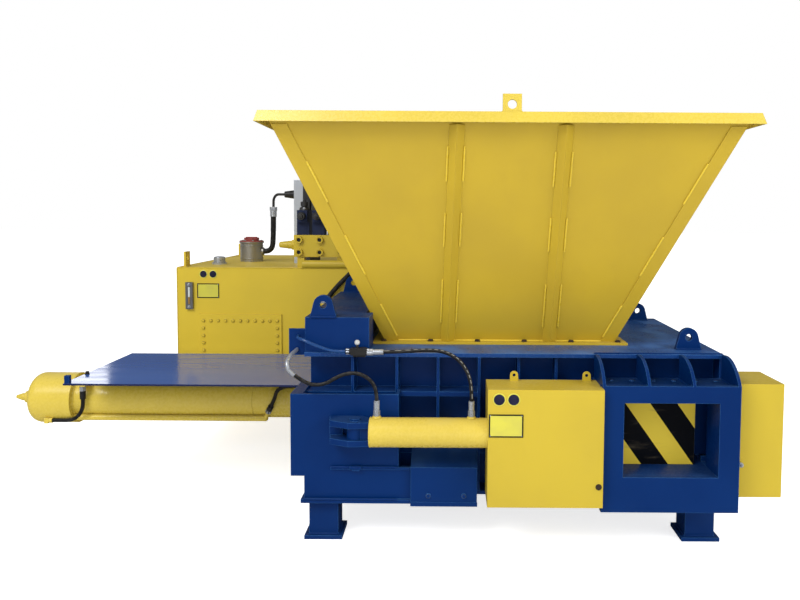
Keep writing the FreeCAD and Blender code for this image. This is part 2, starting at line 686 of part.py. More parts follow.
angle_leg = 40.0
angle_wall = 7.0
angle_section = [(-angle_leg, 0), (0, angle_leg), (angle_leg, 0), (angle_leg - angle_wall, 0),
                 (0, angle_leg - angle_wall), (-angle_leg + angle_wall, 0)]
bar_reach = (rim_low - flange_top - 6) / (shell_top - flange_top)
stiffener_lows = (-296.0, 281.0)
stiffener_highs = (-254.0, 281.0)
pieces["hopper_stiffeners"] = Part.makeCompound([
    leaning_bar(angle_section, hopper_mid_x + low, hopper_mid_x + high, 0.0, bar_reach, side)
    for side in (-1, 1) for low, high in zip(stiffener_lows, stiffener_highs)])

strip_width = 80.0
strip_thick = 6.0
strips = []
for side in (-1, 1):
    for hand in (-1, 1):
        section = [(0, 0), (-hand * strip_width, 0), (-hand * strip_width, strip_thick), (0, strip_thick)]
        low_x = hopper_mid_x + hand * shell_low_w / 2
        high_x = low_x + hand * bar_reach * (shell_high_w - shell_low_w) / 2
        strips.append(leaning_bar(section, low_x, high_x, 0.0, bar_reach, side))
pieces["hopper_corner_strips"] = Part.makeCompound(strips)

hopper_lug_y = hopper_mid_y - rim_depth / 2 + 6
lug_x = hopper_mid_x + 12
pieces["hopper_lugs"] = Part.makeCompound([
    box(lug_x - 46, lug_x + 46, y, y + 18, rim_top, rim_top + 86).cut(
        rod((lug_x, y - 1, rim_top + 36), (0, 1, 0), 45, 20))
    for y in (hopper_lug_y, 2 * hopper_mid_y - hopper_lug_y - 18)])

# ---------------------------------------------------------------- sheet guards
guard_right_x = plate_left
guide_face = guide_front - guide_wall
left_guard = box(guard_left_x, guard_right_x, guard_front, guide_face, guard_bottom, guard_top)
left_room = box(guard_left_x + guard_sheet, guard_right_x - guard_sheet, guard_front + guard_sheet,
                guide_face + 1, guard_bottom + guard_sheet, guard_top - guard_sheet)
barrel_hole = rod((guard_left_x - 1, gate_axis_y, gate_axis_z), (1, 0, 0), gate_barrel_od + 2, guard_sheet + 2)
left_guard = left_guard.cut(left_room).cut(barrel_hole)
tab_places = [(333.0, 150.0), (706.0, 150.0)]
tabs = [lug(x, y, guard_top, 21.0, 44.0, 31.0, 16.0, 5.0) for x, y in tab_places]
pieces["left_guard"] = joined([left_guard] + tabs)

right_guard_left = body_right
right_guard = box(right_guard_left, right_guard_x, right_guard_front, right_guard_back, guard_bottom, guard_top)
right_room = box(right_guard_left - 1, right_guard_x - guard_sheet, right_guard_front + guard_sheet,
                 right_guard_back - guard_sheet, guard_bottom + guard_sheet, guard_top - guard_sheet)
tab_z = 440.0
right_tab = box(right_guard_left, right_guard_left + 24, plate_thick, right_guard_front, tab_z - 24, tab_z + 24)
pieces["right_guard"] = joined([right_guard.cut(right_room), right_tab])

# bent plate over the pipes under the gate cylinder
cover_right = 145.0
cover_top = 392.0
cover_low = 190.0
cover_sheet = 6.0
cover_outline = [(body_front, cover_top + 70), (96, cover_top), (96, cover_low), (96 + cover_sheet, cover_low),
                 (96 + cover_sheet, cover_top - cover_sheet / 2), (body_front, cover_top + 62)]
pipe_cover = prism([(cover_left, y, z) for y, z in cover_outline], (cover_right - cover_left, 0, 0))
cover_legs = [box(x, x + cover_sheet, 96 + cover_sheet, body_front, body_bottom, body_floor_z + 60)
              for x in (cover_left, cover_right - cover_sheet)]
pieces["pipe_cover"] = joined([pipe_cover] + cover_legs)

guard_bolts = [hexagon((738.0, guard_front, 348.0), (0, -1, 0), 22, 8)]
guard_bolts.append(hexagon((right_guard_left + 12, plate_thick, tab_z), (0, -1, 0), 18, 8))
for x in (-104.0, 78.0):
    guard_bolts.append(hexagon((x, 96.0, 246.0), (0, -1, 0), 20, 8))
for k in range(6):
    guard_bolts.append(hexagon((842.0 + k * 109.0, 196.0, shelf_z + 12), (0, 0, 1), 20, 8))
pieces["guard_bolts"] = Part.makeCompound(guard_bolts)

# ---------------------------------------------------------------- oil tank and power unit
tank_back = tank_front + tank_depth
tank = box(tank_left, tank_right, tank_front, tank_back, tank_bottom, tank_top)
inside = box(tank_left + tank_sheet, tank_right - tank_sheet, tank_front + tank_sheet,
             tank_back - tank_sheet, tank_bottom + tank_sheet, tank_top - tank_sheet)
hatch_left = -1773.0
hatch_right = -1189.0
hatch_top = 966.0
hatch_low = 560.0
hatch_plate = 10.0
hatch_hole = box(hatch_left + 70, hatch_right - 70, tank_front - 1, tank_front + tank_sheet + 1,
                 hatch_low + 70, hatch_top - 70)
eye_x = tank_left + 28
tank_eyes = [box(eye_x, eye_x + 14, y, y + 90, tank_top, tank_top + 108).cut(
    rod((eye_x - 1, y + 45, tank_top + 66), (1, 0, 0), 38, 16)) for y in (tank_front + 60, tank_back - 150)]
pieces["oil_tank"] = tank.cut(inside).cut(hatch_hole)
pieces["tank_eyes"] = Part.makeCompound(tank_eyes)
# two tie brackets that hold the tank against the press body
pieces["tank_tie_left"] = box(head_plate_left, head_plate_right, body_back, tank_front, 420.0, 620.0)
pieces["tank_tie_right"] = box(-440.0, -360.0, body_back, tank_front, rail_level, rail_level + rail_height)
tank_leg = 100.0
leg_spots = [(-1100.0, tank_front + 10), (tank_right - 110, tank_front + 10),
             (tank_left + 10, tank_back - 110), (tank_right - 110, tank_back - 110)]
pieces["tank_legs"] = Part.makeCompound([
    joined([box(x, x + tank_leg, y, y + tank_leg, 12, tank_bottom),
            box(x - 20, x + tank_leg + 20, y, y + tank_leg, 0, 12)]) for x, y in leg_spots])
pieces["tank_hatch"] = box(hatch_left, hatch_right, tank_front - hatch_plate, tank_front, hatch_low, hatch_top)
bolt_inset_x = 31.0
bolt_inset_z = 45.0
across = (hatch_right - hatch_left - 2 * bolt_inset_x) / 10
hatch_bolts = []
for k in range(11):
    for z in (hatch_top - bolt_inset_z, hatch_low + bolt_inset_z):
        hatch_bolts.append((hatch_left + bolt_inset_x + k * across, z))
down = (hatch_top - hatch_low - 2 * bolt_inset_z) / 6
for k in range(1, 6):
    for x in (hatch_left + bolt_inset_x, hatch_right - bolt_inset_x):
        hatch_bolts.append((x, hatch_top - bolt_inset_z - k * down))
pieces["hatch_bolts"] = Part.makeCompound([
    hexagon((x, tank_front - hatch_plate, z), (0, -1, 0), 19, 8) for x, z in hatch_bolts])
gauge_x = -1838.0
gauge_low = 1002.0
gauge_high = 1192.0
gauge = box(gauge_x - 25, gauge_x + 25, tank_front - 22, tank_front, gauge_low, gauge_high)
pieces["level_gauge"] = gauge.cut(box(gauge_x - 12, gauge_x + 12, tank_front - 23, tank_front - 14,
                                      gauge_low + 30, gauge_high - 30))
pieces["gauge_window"] = box(gauge_x - 12, gauge_x + 12, tank_front - 20, tank_front - 14,
                             gauge_low + 30, gauge_high - 30)
breather_at = (-1735.0, 1975.0)
pieces["filler_breather"] = joined([
    rod((*breather_at, tank_top), (0, 0, 1), 108, 14),
    rod((*breather_at, tank_top + 14), (0, 0, 1), 84, 36)])
filter_at = (-1589.0, 2343.0)
filter_d = 176.0
filter_top = tank_top + 158
filter_body = joined([rod((*filter_at, tank_top), (0, 0, 1), filter_d, 150),
                      rod((*filter_at, tank_top + 146), (0, 0, 1), filter_d + 14, 12)])
filter_port = rod((filter_at[0], filter_at[1], tank_top + 81), (1, 0, 0), 62, filter_d / 2 + 10)
pieces["return_filter"] = joined([filter_body, filter_port])
pieces["filter_cap"] = joined([
    rod((*filter_at, filter_top), (0, 0, 1), 116, 22),
    box(filter_at[0] - 44, filter_at[0] + 44, filter_at[1] - 10, filter_at[1] + 10,
        filter_top + 22, filter_top + 38)])
# valve block on its stand, with ports on the front, and the solenoid valves on top
block_left = -1110.0
block_right = -738.0
block_front = 1660.0
block_back = 1780.0
block_low = 1372.0
block_high = 1528.0
port_pitch = 146.0
port_grid = [(block_left + 40 + port_pitch * k, z) for k in range(3) for z in (block_low + 34, block_high - 34)]
block = box(block_left, block_right, block_front, block_back, block_low, block_high)
ports = [rod((x, block_front - 24, z), (0, 1, 0), 52, 25) for x, z in port_grid]
side_port = rod((block_left - 110, block_front + 60, block_high - 72), (1, 0, 0), 38, 111)
block = joined([block, side_port] + ports)
for x, z in port_grid:
    block = block.cut(rod((x, block_front - 25, z), (0, 1, 0), 28, 40))
stand = [box(block_left + 24, block_left + 64, block_front + 4, block_back - 4, tank_top, block_low),
         box(block_right - 64, block_right - 24, block_front + 4, block_back - 4, tank_top, block_low)]
pieces["valve_manifold"] = joined([block] + stand)
valve_bodies = []
for k in range(3):
    x0 = block_left + 22 + 108 * k
    valve_bodies.append(joined([
        box(x0, x0 + 88, block_front + 8, block_back - 8, block_high, block_high + 92),
        box(x0 + 8, x0 + 80, block_front - 30, block_back + 30, block_high + 92, block_high + 176)]))
pieces["solenoid_valves"] = Part.makeCompound(valve_bodies)
header_d = 57.0
pieces["header_pipe"] = joined([
    rod((block_left + 70, block_front - 36, tank_top + header_d / 2), (1, 0, 0), header_d, 310),
    box(block_left + 60, block_left + 84, block_front - 50, block_front + 4, tank_top, tank_top + 72)])
# oil cooler with its fan cowl
cooler_left = -1200.0
cooler_right = -1080.0
cooler_front = 2110.0
cooler_back = 2576.0
cooler_top = 1935.0
cooler_mid_y = (cooler_front + cooler_back) / 2
cooler_mid_z = 1690.0
cooler = box(cooler_left, cooler_right, cooler_front, cooler_back, tank_top, cooler_top)
fan_room = rod((cooler_right - 60, cooler_mid_y, cooler_mid_z), (1, 0, 0), 400, 61)
pieces["oil_cooler"] = cooler.cut(fan_room)
hub_d = 70.0
fan_blades = [rod((cooler_right - 50, cooler_mid_y, cooler_mid_z), (1, 0, 0), hub_d, 40)]
for k in range(6):
    blade = prism([(cooler_right - 46, cooler_mid_y - 20, cooler_mid_z + 30),
                   (cooler_right - 42, cooler_mid_y - 20, cooler_mid_z + 30),
                   (cooler_right - 16, cooler_mid_y + 26, cooler_mid_z + 30),
                   (cooler_right - 20, cooler_mid_y + 26, cooler_mid_z + 30)], (0, 0, 158))
    blade.rotate(Vec(cooler_right, cooler_mid_y, cooler_mid_z), Vec(1, 0, 0), 60 * k)
    fan_blades.append(blade)
fan_shaft_d = 19.0
fan_bore = rod((cooler_right - 61, cooler_mid_y, cooler_mid_z), (1, 0, 0), fan_shaft_d + 0.08, 62)
pieces["cooler_fan"] = joined(fan_blades).cut(fan_bore)
fan_motor = rod((cooler_right + 6, cooler_mid_y, cooler_mid_z), (1, 0, 0), 150, 170)
fan_arms = [box(cooler_right, cooler_right + 6, cooler_mid_y - 214, cooler_mid_y + 214,
                cooler_mid_z - 14, cooler_mid_z + 14),
            box(cooler_right, cooler_right + 6, cooler_mid_y - 14, cooler_mid_y + 14,
                cooler_mid_z - 214, cooler_mid_z + 214)]
fan_shaft = rod((cooler_right - 56, cooler_mid_y, cooler_mid_z), (1, 0, 0), fan_shaft_d, 56)
pieces["fan_motor"] = joined([fan_motor, fan_shaft] + fan_arms)
# pump set: motor, bell housing and pump on a rail
pump_x = -546.0
pump_z = tank_top + 172
motor_front = 2140.0
motor_length = 560.0
motor_d = 320.0
motor = rod((pump_x, motor_front, pump_z), (0, 1, 0), motor_d, motor_length)
fins = [box(pump_x - motor_d / 2 - 14, pump_x + motor_d / 2 + 14, motor_front + 40,
            motor_front + motor_length - 120, pump_z - 60 + 40 * k - 3, pump_z - 60 + 40 * k + 3)
        for k in range(4)]
motor_feet = [box(pump_x - 150, pump_x + 150, y, y + 60, tank_top, pump_z - motor_d / 2 + 24)
              for y in (motor_front + 60, motor_front + 360)]
terminal_box = box(pump_x - 70, pump_x + 70, motor_front + 120, motor_front + 280,
                   pump_z + motor_d / 2 - 20, pump_z + motor_d / 2 + 80)
pieces["pump_motor"] = joined([motor, terminal_box] + fins + motor_feet)
bell_length = 150.0
pieces["bell_housing"] = Part.makeCone(95, 150, bell_length, Vec(pump_x, motor_front - bell_length, pump_z),
                                       Vec(0, 1, 0))
pump_length = 110.0
pump_front = motor_front - bell_length - pump_length
pieces["hydraulic_pump"] = joined([
    rod((pump_x, pump_front, pump_z), (0, 1, 0), 150, pump_length),
    rod((pump_x, pump_front - 16, pump_z), (0, 1, 0), 56, 17)])

# ---------------------------------------------------------------- pipes, hoses and their fittings
def fitting(tip, direction, length, outer, neck):
    """A hose end: a crimped sleeve and a hexagon nut, from the hose's end towards the port."""
    along = Vec(*direction).normalize()
    start = Vec(*tip)
    sleeve = Part.makeCylinder(outer / 2, length * 0.6, start, along)
    nut = hexagon(tuple(start + along * (length * 0.6)), tuple(along), neck, length * 0.4)
    return joined([sleeve, nut])


gate_port_z = gate_top_z + 9
hose_end_z = gate_port_z + 70
hose_wall = hose_d + 9
ram_hose_wall = ram_hose_d + 9
left_port = (gate_port_x[0], gate_axis_y, hose_end_z)
right_port = (gate_port_x[1], gate_axis_y, hose_end_z)
gate_hose_left = [(-780, 76, 869.3), (-738, 76, 838), (-680, 75, 818), (-618, 71, 829), (-564, 66, 864),
                  (-508, 59, 886), (-448, 50, 886), (-393, 42, 857),
                  (left_port[0], 38, 805), left_port]
gate_hose_right = [(-350, 205, 966), (-240, 203, 968), (-125, 176, 984), (-25, 132, 985), (48, 94, 952),
                   (96, 62, 890), (right_port[0], 38, 818), right_port]
ram_hose_left = [(-2160, 704, 590), (-2160, 704, 546), (-2170.5, 706, 509.5), (-2193, 710, 478.7),
                 (-2224, 717, 457.5), (-2261, 725, 447.5), (-2304, 731, 446), (-2355, 731, 446)]
ram_hose_right = [(-862, 545, 705), (-905, 545, 705), (-948, 560, 695), (-992, 592, 664),
                  (-1019.6, 661.9, 600.8), (-1053.1, 703.4, 541.3)]
return_hose_d = 42.0
return_hose = [(-1491, 2343, 1376), (-1462, 2343, 1376), (-1436, 2343, 1391), (-1421, 2343, 1418),
               (-1417, 2343, 1472), (-1414, 2343, 1566), (-1413, 2343, 1659)]
pump_hose_d = 34.0
pump_hose = [(-868, 1592, 1075), (-800, 1592, 1165), (-712, 1592, 1248), (-636, 1592, 1340),
             (-576, 1644, 1412), (-546, 1738, 1467), (-546, 1838, 1467)]
pieces["gate_hose_left"] = hose(gate_hose_left, hose_d, "gate_hose_left")
pieces["gate_hose_right"] = hose(gate_hose_right, hose_d, "gate_hose_right")
pieces["ram_hose_left"] = hose(ram_hose_left, ram_hose_d, "ram_hose_left")
pieces["ram_hose_right"] = hose(ram_hose_right, ram_hose_d, "ram_hose_right")
pieces["return_hose"] = hose(return_hose, return_hose_d, "return_hose")
pieces["pump_hose"] = hose(pump_hose, pump_hose_d, "pump_hose")


def end_direction(route, first):
    """The way a hose points out of itself at its first or last point."""
    if first:
        return tuple(Vec(*route[0]) - Vec(*route[1]))
    return tuple(Vec(*route[-1]) - Vec(*route[-2]))


fittings = []
for route, first, length, sleeve in (
        (gate_hose_left, False, 70, hose_wall), (gate_hose_right, False, 70, hose_wall),
        (gate_hose_right, True, 79.5, hose_wall), (ram_hose_left, True, 70, ram_hose_wall),
        (ram_hose_right, False, 50, ram_hose_wall), (ram_hose_right, True, 50, ram_hose_wall),
        (return_hose, False, 70, return_hose_d + 8), (pump_hose, False, 26, pump_hose_d + 8),
        (pump_hose, True, 40, pump_hose_d + 8)):
    tip = route[0] if first else route[-1]
    fittings.append(fitting(tip, end_direction(route, first), length, sleeve, sleeve + 2))
pieces["hose_fittings"] = Part.makeCompound(fittings)

# steel pipes along the left end, the valve they feed, and the elbow that starts the left hose
pipe_d = 16.0
elbow_d = 21.0
bracket_left = -855.0
pieces["pipe_bracket"] = box(bracket_left, tie_left, 300.0, 316.0, 930.0, 1071.0)
pieces["elbow_pipe"] = hose([(-780, 76, 869.3), (-811.92, 76, 893.088), (-822, 90, 930), (-815, 136, 956),
                             (-812, 218, 960), (-812, 300, 960)], elbow_d, "elbow_pipe")
pipe_runs = [hose([(-804, 300, 1032), (-804, 254, 1032), (-764, 216, 1026), (-690, 208, 994),
                   (-610, 208, 968), (-540, 208, 968)], pipe_d, "feed_pipe")]
pieces["steel_pipes"] = Part.makeCompound(pipe_runs)
valve_x0 = -514.0
valve_x1 = -430.0
pieces["check_valve"] = joined([box(valve_x0, valve_x1, 190, 228, 950, 986),
                                box(valve_x0 + 10, valve_x1 - 10, 228, body_front, under_deck, under_deck + 52),
                                rod((valve_x0 - 26, 208, 968), (1, 0, 0), 30, 27),
                                rod((-480, 208, 985), (0, 0, 1), 14, 18)])
pieces["valve_knob"] = Part.makeSphere(14, Vec(-480, 208, 1015))
# pipe along the main cylinder, its end block, and the port blocks of the left hose
line_y = main_axis_y - 88.5
line_z = main_axis_z - 99.5
line_left = head_right
line_right = -1100.0
line_d = 36.0
pieces["cylinder_pipe"] = rod((line_left, line_y, line_z), (1, 0, 0), line_d, line_right - line_left)
elbow_centre = Vec(line_right, line_y, line_z)
hose_tip = Vec(*ram_hose_right[-1])
stub_start = hose_tip + Vec(*end_direction(ram_hose_right, False)).normalize() * 50
stub = Part.makeCylinder(12, (elbow_centre - stub_start).Length, stub_start, elbow_centre - stub_start)
pieces["pipe_end_elbow"] = joined([Part.makeSphere(line_d / 2 + 1, elbow_centre), stub]).cut(
    pieces["cylinder_pipe"])
end_x, end_y, end_z = ram_hose_left[-1]
port_blocks = [box(-2190, -2136, 682, main_axis_y - 20, 660, 676),
               joined([rod((end_x, end_y, end_z), (-1, 0, 0), 30, 30),
                       box(end_x - 45, end_x - 21, end_y - 15, end_y + 69, end_z - 16, end_z + 16)])]
pieces["ram_port_blocks"] = Part.makeCompound([
    block.cut(pieces["main_cylinder_head"]).cut(pieces["main_cylinder_barrel"]) for block in port_blocks])

# cooler line: thin pipe from the return hose's sleeve to the gland on the cooler
pieces["cooler_pipe"] = hose([(-1412, 2343, 1730), (-1411, 2343, 1794), (-1388, 2343, 1830),
                              (-1320, 2343, 1830)], 20.0, "cooler_pipe")
pieces["cooler_gland"] = Part.makeCone(24, 40, cooler_left + 1320, Vec(-1320, 2343, 1830), Vec(1, 0, 0))

# ---------------------------------------------------------------- pieces that share a node
welded = {
    "top_deck": ["throat_box"],
    "base_frame": ["chamber_floor"],
    "head_plate": ["cylinder_side_plate", "tank_tie_left"],
    "top_tie_box": ["pipe_bracket"],
    "main_cylinder_head": ["head_nozzle"],
    "main_piston_rod": ["main_piston"],
    "cross_piston_rod": ["cross_piston"],
    "cross_cylinder_barrel": ["cross_cylinder_cap"],
    "gate_rod": ["gate_piston", "gate_rod_plate"],
    "hydraulic_pump": ["bell_housing"],
}
for carrier, others in welded.items():
    pieces[carrier] = joined([pieces[carrier]] + [pieces.pop(name) for name in others])
grouped = {
    "gate_guides": ["lower_gate_guide", "upper_gate_guide"],
    "support_legs": list(leg_places),
    "gate_bracket": ["gate_bracket", "gate_pin"],
    "oil_tank": ["oil_tank", "tank_eyes", "tank_legs"],
    "rear_wall": ["rear_wall", "cross_ram_guide", "cross_head_plate", "tank_tie_right"],
    "hopper_shell": ["hopper_shell", "hopper_flange"],
    "hopper_rim": ["hopper_rim", "hopper_lugs"],
    "hopper_stiffeners": ["hopper_stiffeners", "hopper_corner_strips"],
    "cylinder_pipe": ["cylinder_pipe", "pipe_end_elbow", "ram_port_blocks"],
    "cooler_line": ["cooler_pipe", "cooler_gland"],
    "hose_fittings": ["hose_fittings", "elbow_pipe"],
    "check_valve": ["check_valve", "valve_knob"],
    "valve_manifold": ["valve_manifold", "header_pipe"],
    "oil_cooler": ["oil_cooler", "fan_motor"],
    "level_gauge": ["level_gauge", "gauge_window"],
    "hex_bolts": ["gland_bolts", "flange_bolts", "guard_bolts", "hatch_bolts"],
}
for group, members in grouped.items():
    solids = [solid for name in members for solid in pieces.pop(name).Solids]
    pieces[group] = Part.makeCompound(solids)

# ---------------------------------------------------------------- write every piece about the ground centre
low = Vec(min(shape.BoundBox.XMin for shape in pieces.values()),
          min(shape.BoundBox.YMin for shape in pieces.values()), 0)
high = Vec(max(shape.BoundBox.XMax for shape in pieces.values()),
           max(shape.BoundBox.YMax for shape in pieces.values()), 0)
ground_centre = (low + high) * 0.5
print("ground centre", ground_centre, "size", high - low, "nodes", len(pieces))
for name, shape in pieces.items():
    shape.translate(ground_centre * -1)
    shape.exportStep(f"parts/{name}.step")
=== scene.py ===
import bmesh
import bpy
import math
import numpy as np
from mathutils import Euler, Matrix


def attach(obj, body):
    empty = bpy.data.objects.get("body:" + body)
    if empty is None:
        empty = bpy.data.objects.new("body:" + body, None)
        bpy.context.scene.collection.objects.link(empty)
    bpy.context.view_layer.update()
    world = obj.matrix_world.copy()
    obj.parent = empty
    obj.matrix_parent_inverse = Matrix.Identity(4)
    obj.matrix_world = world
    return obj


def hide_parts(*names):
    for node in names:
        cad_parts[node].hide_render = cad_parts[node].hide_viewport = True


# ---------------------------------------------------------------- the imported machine
# The scrap baler arrives as fixed solids: press body, two rams, gate, hopper, guards and tank. Everything
# below gives them paint, metal and rubber, and adds the small pieces that a plain solid lacks.
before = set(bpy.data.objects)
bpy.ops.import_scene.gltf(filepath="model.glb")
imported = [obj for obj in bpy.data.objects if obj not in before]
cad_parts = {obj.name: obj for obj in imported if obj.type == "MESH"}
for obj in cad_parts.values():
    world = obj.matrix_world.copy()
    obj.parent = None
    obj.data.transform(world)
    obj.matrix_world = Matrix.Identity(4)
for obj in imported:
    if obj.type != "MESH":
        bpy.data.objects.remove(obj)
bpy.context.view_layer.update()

# ---------------------------------------------------------------- floor, light and camera
# A pale workshop floor under a plain white surround that paint mirrors only dimly. Four soft lamps: a broad
# one above the operator's left shoulder, a weaker one on the right, a low one in front and a small one
# behind the cover plate. The camera looks at the window plate from a standing eye's height.


def finish(name, roughness, metallic=0.0, coat=0.0, shine=0.5):
    """A new material with one Principled surface: gives the material, its nodes, the surface and the piece's
    own coordinates in metres."""
    material = bpy.data.materials.new(name)
    material.use_nodes = True
    nodes = material.node_tree
    surface = nodes.nodes["Principled BSDF"]
    surface.inputs["Roughness"].default_value = roughness
    surface.inputs["Metallic"].default_value = metallic
    surface.inputs["Specular IOR Level"].default_value = shine
    surface.inputs["Coat Weight"].default_value = coat
    surface.inputs["Coat Roughness"].default_value = 0.12
    return material, nodes, surface, nodes.nodes.new("ShaderNodeTexCoord").outputs["Object"]


def between(nodes, value, low, high, to_low, to_high):
    """A value mapped from one span to another, smoothly and without leaving the new span."""
    span = nodes.nodes.new("ShaderNodeMapRange")
    span.interpolation_type = "SMOOTHSTEP"
    for socket, number in (("From Min", low), ("From Max", high), ("To Min", to_low), ("To Max", to_high)):
        span.inputs[socket].default_value = number
    nodes.links.new(value, span.inputs["Value"])
    return span.outputs["Result"]


def mixed(nodes, share, first, second):
    """Two colours mixed by a share from 0 to 1: each is a fixed colour or the output of an earlier mix."""
    blend = nodes.nodes.new("ShaderNodeMix")
    blend.data_type = "RGBA"
    nodes.links.new(share, blend.inputs[0])
    for socket, colour in ((blend.inputs[6], first), (blend.inputs[7], second)):
        if isinstance(colour, tuple):
            socket.default_value = (*colour, 1.0)
        else:
            nodes.links.new(colour, socket)
    return blend.outputs[2]


def combined(nodes, operation, first, second):
    """Two values joined by one operation, such as a sum, a product or the larger of both: the second may be a
    number."""
    joint = nodes.nodes.new("ShaderNodeMath")
    joint.operation = operation
    nodes.links.new(first, joint.inputs[0])
    if isinstance(second, (int, float)):
        joint.inputs[1].default_value = second
    else:
        nodes.links.new(second, joint.inputs[1])
    return joint.outputs[0]


def at(x, y, z):
    """A point in metres from millimetres right of the long side's middle, behind the window plate's front
    face and above the floor."""
    side_middle, plate_front = 463.0, -1583.5
    return np.array([(x + side_middle) / 1000, (y + plate_front) / 1000, z / 1000])


room_light, room_mirrored = 0.62, 0.18
world = bpy.data.worlds.new("white_room")
bpy.context.scene.world = world
world.use_nodes = True
room = world.node_tree
sky = room.nodes["Background"]
sky.inputs["Color"].default_value = (1.0, 1.0, 1.0, 1.0)
rays = room.nodes.new("ShaderNodeLightPath").outputs
seen = combined(room, "MAXIMUM", rays["Is Camera Ray"], rays["Is Transmission Ray"])
sky_level = between(room, seen, 0.0, 1.0, room_light, 1.0)
mirror = between(room, rays["Is Glossy Ray"], 0.0, 1.0, 1.0, room_mirrored)
room.links.new(combined(room, "MULTIPLY", sky_level, mirror), sky.inputs["Strength"])


def lamp(name, place, aim, side, power):
    """A square soft lamp at a place, turned so that its face looks at the aim point."""
    light = bpy.data.lights.new(name, "AREA")
    light.shape = "SQUARE"
    light.size = side
    light.energy = power
    holder = bpy.data.objects.new(name, light)
    holder.location = place
    toward = np.array(aim, float) - np.array(place, float)
    tip = math.atan2(math.hypot(toward[0], toward[1]), -toward[2])
    holder.rotation_euler = (tip, 0.0, math.atan2(toward[1], toward[0]) - math.pi / 2)
    bpy.context.scene.collection.objects.link(holder)
    return holder


lamp("key_lamp", (-3.4, -6.2, 6.4), aim=(0.2, 0.0, 0.9), side=3.6, power=400.0)
low_lamp = lamp("low_lamp", (0.2, -7.4, 0.9), aim=(0.2, 0.0, 1.2), side=3.0, power=95.0)
low_lamp.visible_glossy = False
window_light = lamp("window_light", (-3.17, 2.12, 1.38), aim=(-1.5, -1.1, 0.75), side=0.44, power=1.8)
window_light.visible_camera = False
lamp("side_lamp", (6.0, -4.6, 3.8), aim=(0.4, 0.0, 0.9), side=3.4, power=190.0)

floor_reach = 60.0
floor_corners = [(x * floor_reach, y * floor_reach, 0) for x, y in ((-1, -1), (1, -1), (1, 1), (-1, 1))]
floor_mesh = bpy.data.meshes.new("floor")
floor_mesh.from_pydata(floor_corners, [], [(0, 1, 2, 3)])
floor = bpy.data.objects.new("floor", floor_mesh)
bpy.context.scene.collection.objects.link(floor)
floor_paint, nodes, ground, place = finish("pale_floor", 0.9, shine=0.1)
rays = nodes.nodes.new("ShaderNodeLightPath").outputs
tone = mixed(nodes, rays["Is Glossy Ray"], (0.88, 0.88, 0.88), (0.22, 0.22, 0.22))
nodes.links.new(tone, ground.inputs["Base Color"])
nodes.links.new(combined(nodes, "MULTIPLY", rays["Is Camera Ray"], 0.74), ground.inputs["Emission Strength"])
ground.inputs["Emission Color"].default_value = (1.0, 1.0, 1.0, 1.0)
floor.data.materials.append(floor_paint)

picture_width = 800
eye_back, eye_height = 3660, 1690
tilt, lean_over = 86.5, 0.35
camera = bpy.data.cameras.new("camera")
camera.lens = 33.75
camera.sensor_width = 36.0
camera.shift_x = -50 / picture_width
camera.shift_y = -41.1 / picture_width
camera.clip_end = 200.0
viewer = bpy.data.objects.new("camera", camera)
viewer.location = at(0, -eye_back, eye_height)
pitch = Euler((math.radians(tilt), 0.0, 0.0)).to_quaternion()
roll = Euler((0.0, 0.0, math.radians(lean_over))).to_quaternion()
viewer.rotation_mode = "QUATERNION"
viewer.rotation_quaternion = pitch @ roll
bpy.context.scene.collection.objects.link(viewer)
bpy.context.scene.camera = viewer
bpy.context.scene.view_settings.view_transform = "Standard"

# ---------------------------------------------------------------- press body
# Flame-cut and welded plates, sprayed with blue enamel after assembly: bed, ribbed walls, head plate,
# tie box, window plate with its gussets, deck and legs. Dust dulls the level faces and edges are worn. All
# edges also carry a painted highlight, and the deck takes a brighter blue with a painted sheen.


def cloud(nodes, place, scale, detail=4.0, stretch=(1.0, 1.0, 1.0)):
    """Fractal noise over the piece, from 0 to 1, pulled out along the axes whose stretch is small."""
    spread = nodes.nodes.new("ShaderNodeMapping")
    spread.inputs["Scale"].default_value = stretch
    nodes.links.new(place, spread.inputs["Vector"])
    grain = nodes.nodes.new("ShaderNodeTexNoise")
    grain.inputs["Scale"].default_value = scale
    grain.inputs["Detail"].default_value = detail
    nodes.links.new(spread.outputs["Vector"], grain.inputs["Vector"])
    return grain.outputs["Fac"]


def rounded_edges(nodes, radius):
    """The edge rounding of a plate: gives the softened normal, and a mask that is 1 on outer and inner
    edges."""
    soft = nodes.nodes.new("ShaderNodeBevel")
    soft.samples = 4
    soft.inputs["Radius"].default_value = radius
    shape = nodes.nodes.new("ShaderNodeNewGeometry")
    meet = nodes.nodes.new("ShaderNodeVectorMath")
    meet.operation = "DOT_PRODUCT"
    nodes.links.new(soft.outputs["Normal"], meet.inputs[0])
    nodes.links.new(shape.outputs["Normal"], meet.inputs[1])
    return soft.outputs["Normal"], between(nodes, meet.outputs["Value"], 0.80, 0.995, 1.0, 0.0)


def relief(nodes, surface, height, depth, normal=None):
    """Fine relief of a stated depth in metres on top of a softened normal."""
    bump = nodes.nodes.new("ShaderNodeBump")
    bump.inputs["Strength"].default_value = 1.0
    bump.inputs["Distance"].default_value = depth
    nodes.links.new(height, bump.inputs["Height"])
    if normal is not None:
        nodes.links.new(normal, bump.inputs["Normal"])
    nodes.links.new(bump.outputs["Normal"], surface.inputs["Normal"])


def split(nodes, vector):
    """The X, Y and Z of a place or a direction."""
    parts = nodes.nodes.new("ShaderNodeSeparateXYZ")
    nodes.links.new(vector, parts.inputs[0])
    return parts.outputs


def upward(nodes):
    """How level a face is: 1 where it looks straight up, 0 on upright and hanging faces."""
    shape = nodes.nodes.new("ShaderNodeNewGeometry")
    return between(nodes, split(nodes, shape.outputs["Normal"])["Z"], 0.55, 0.98, 0.0, 1.0)


def low_down(nodes, place, foot, head):
    """How near a point is to the floor: 1 at the foot height, 0 at the head height."""
    return between(nodes, split(nodes, place)["Z"], foot, head, 1.0, 0.0)


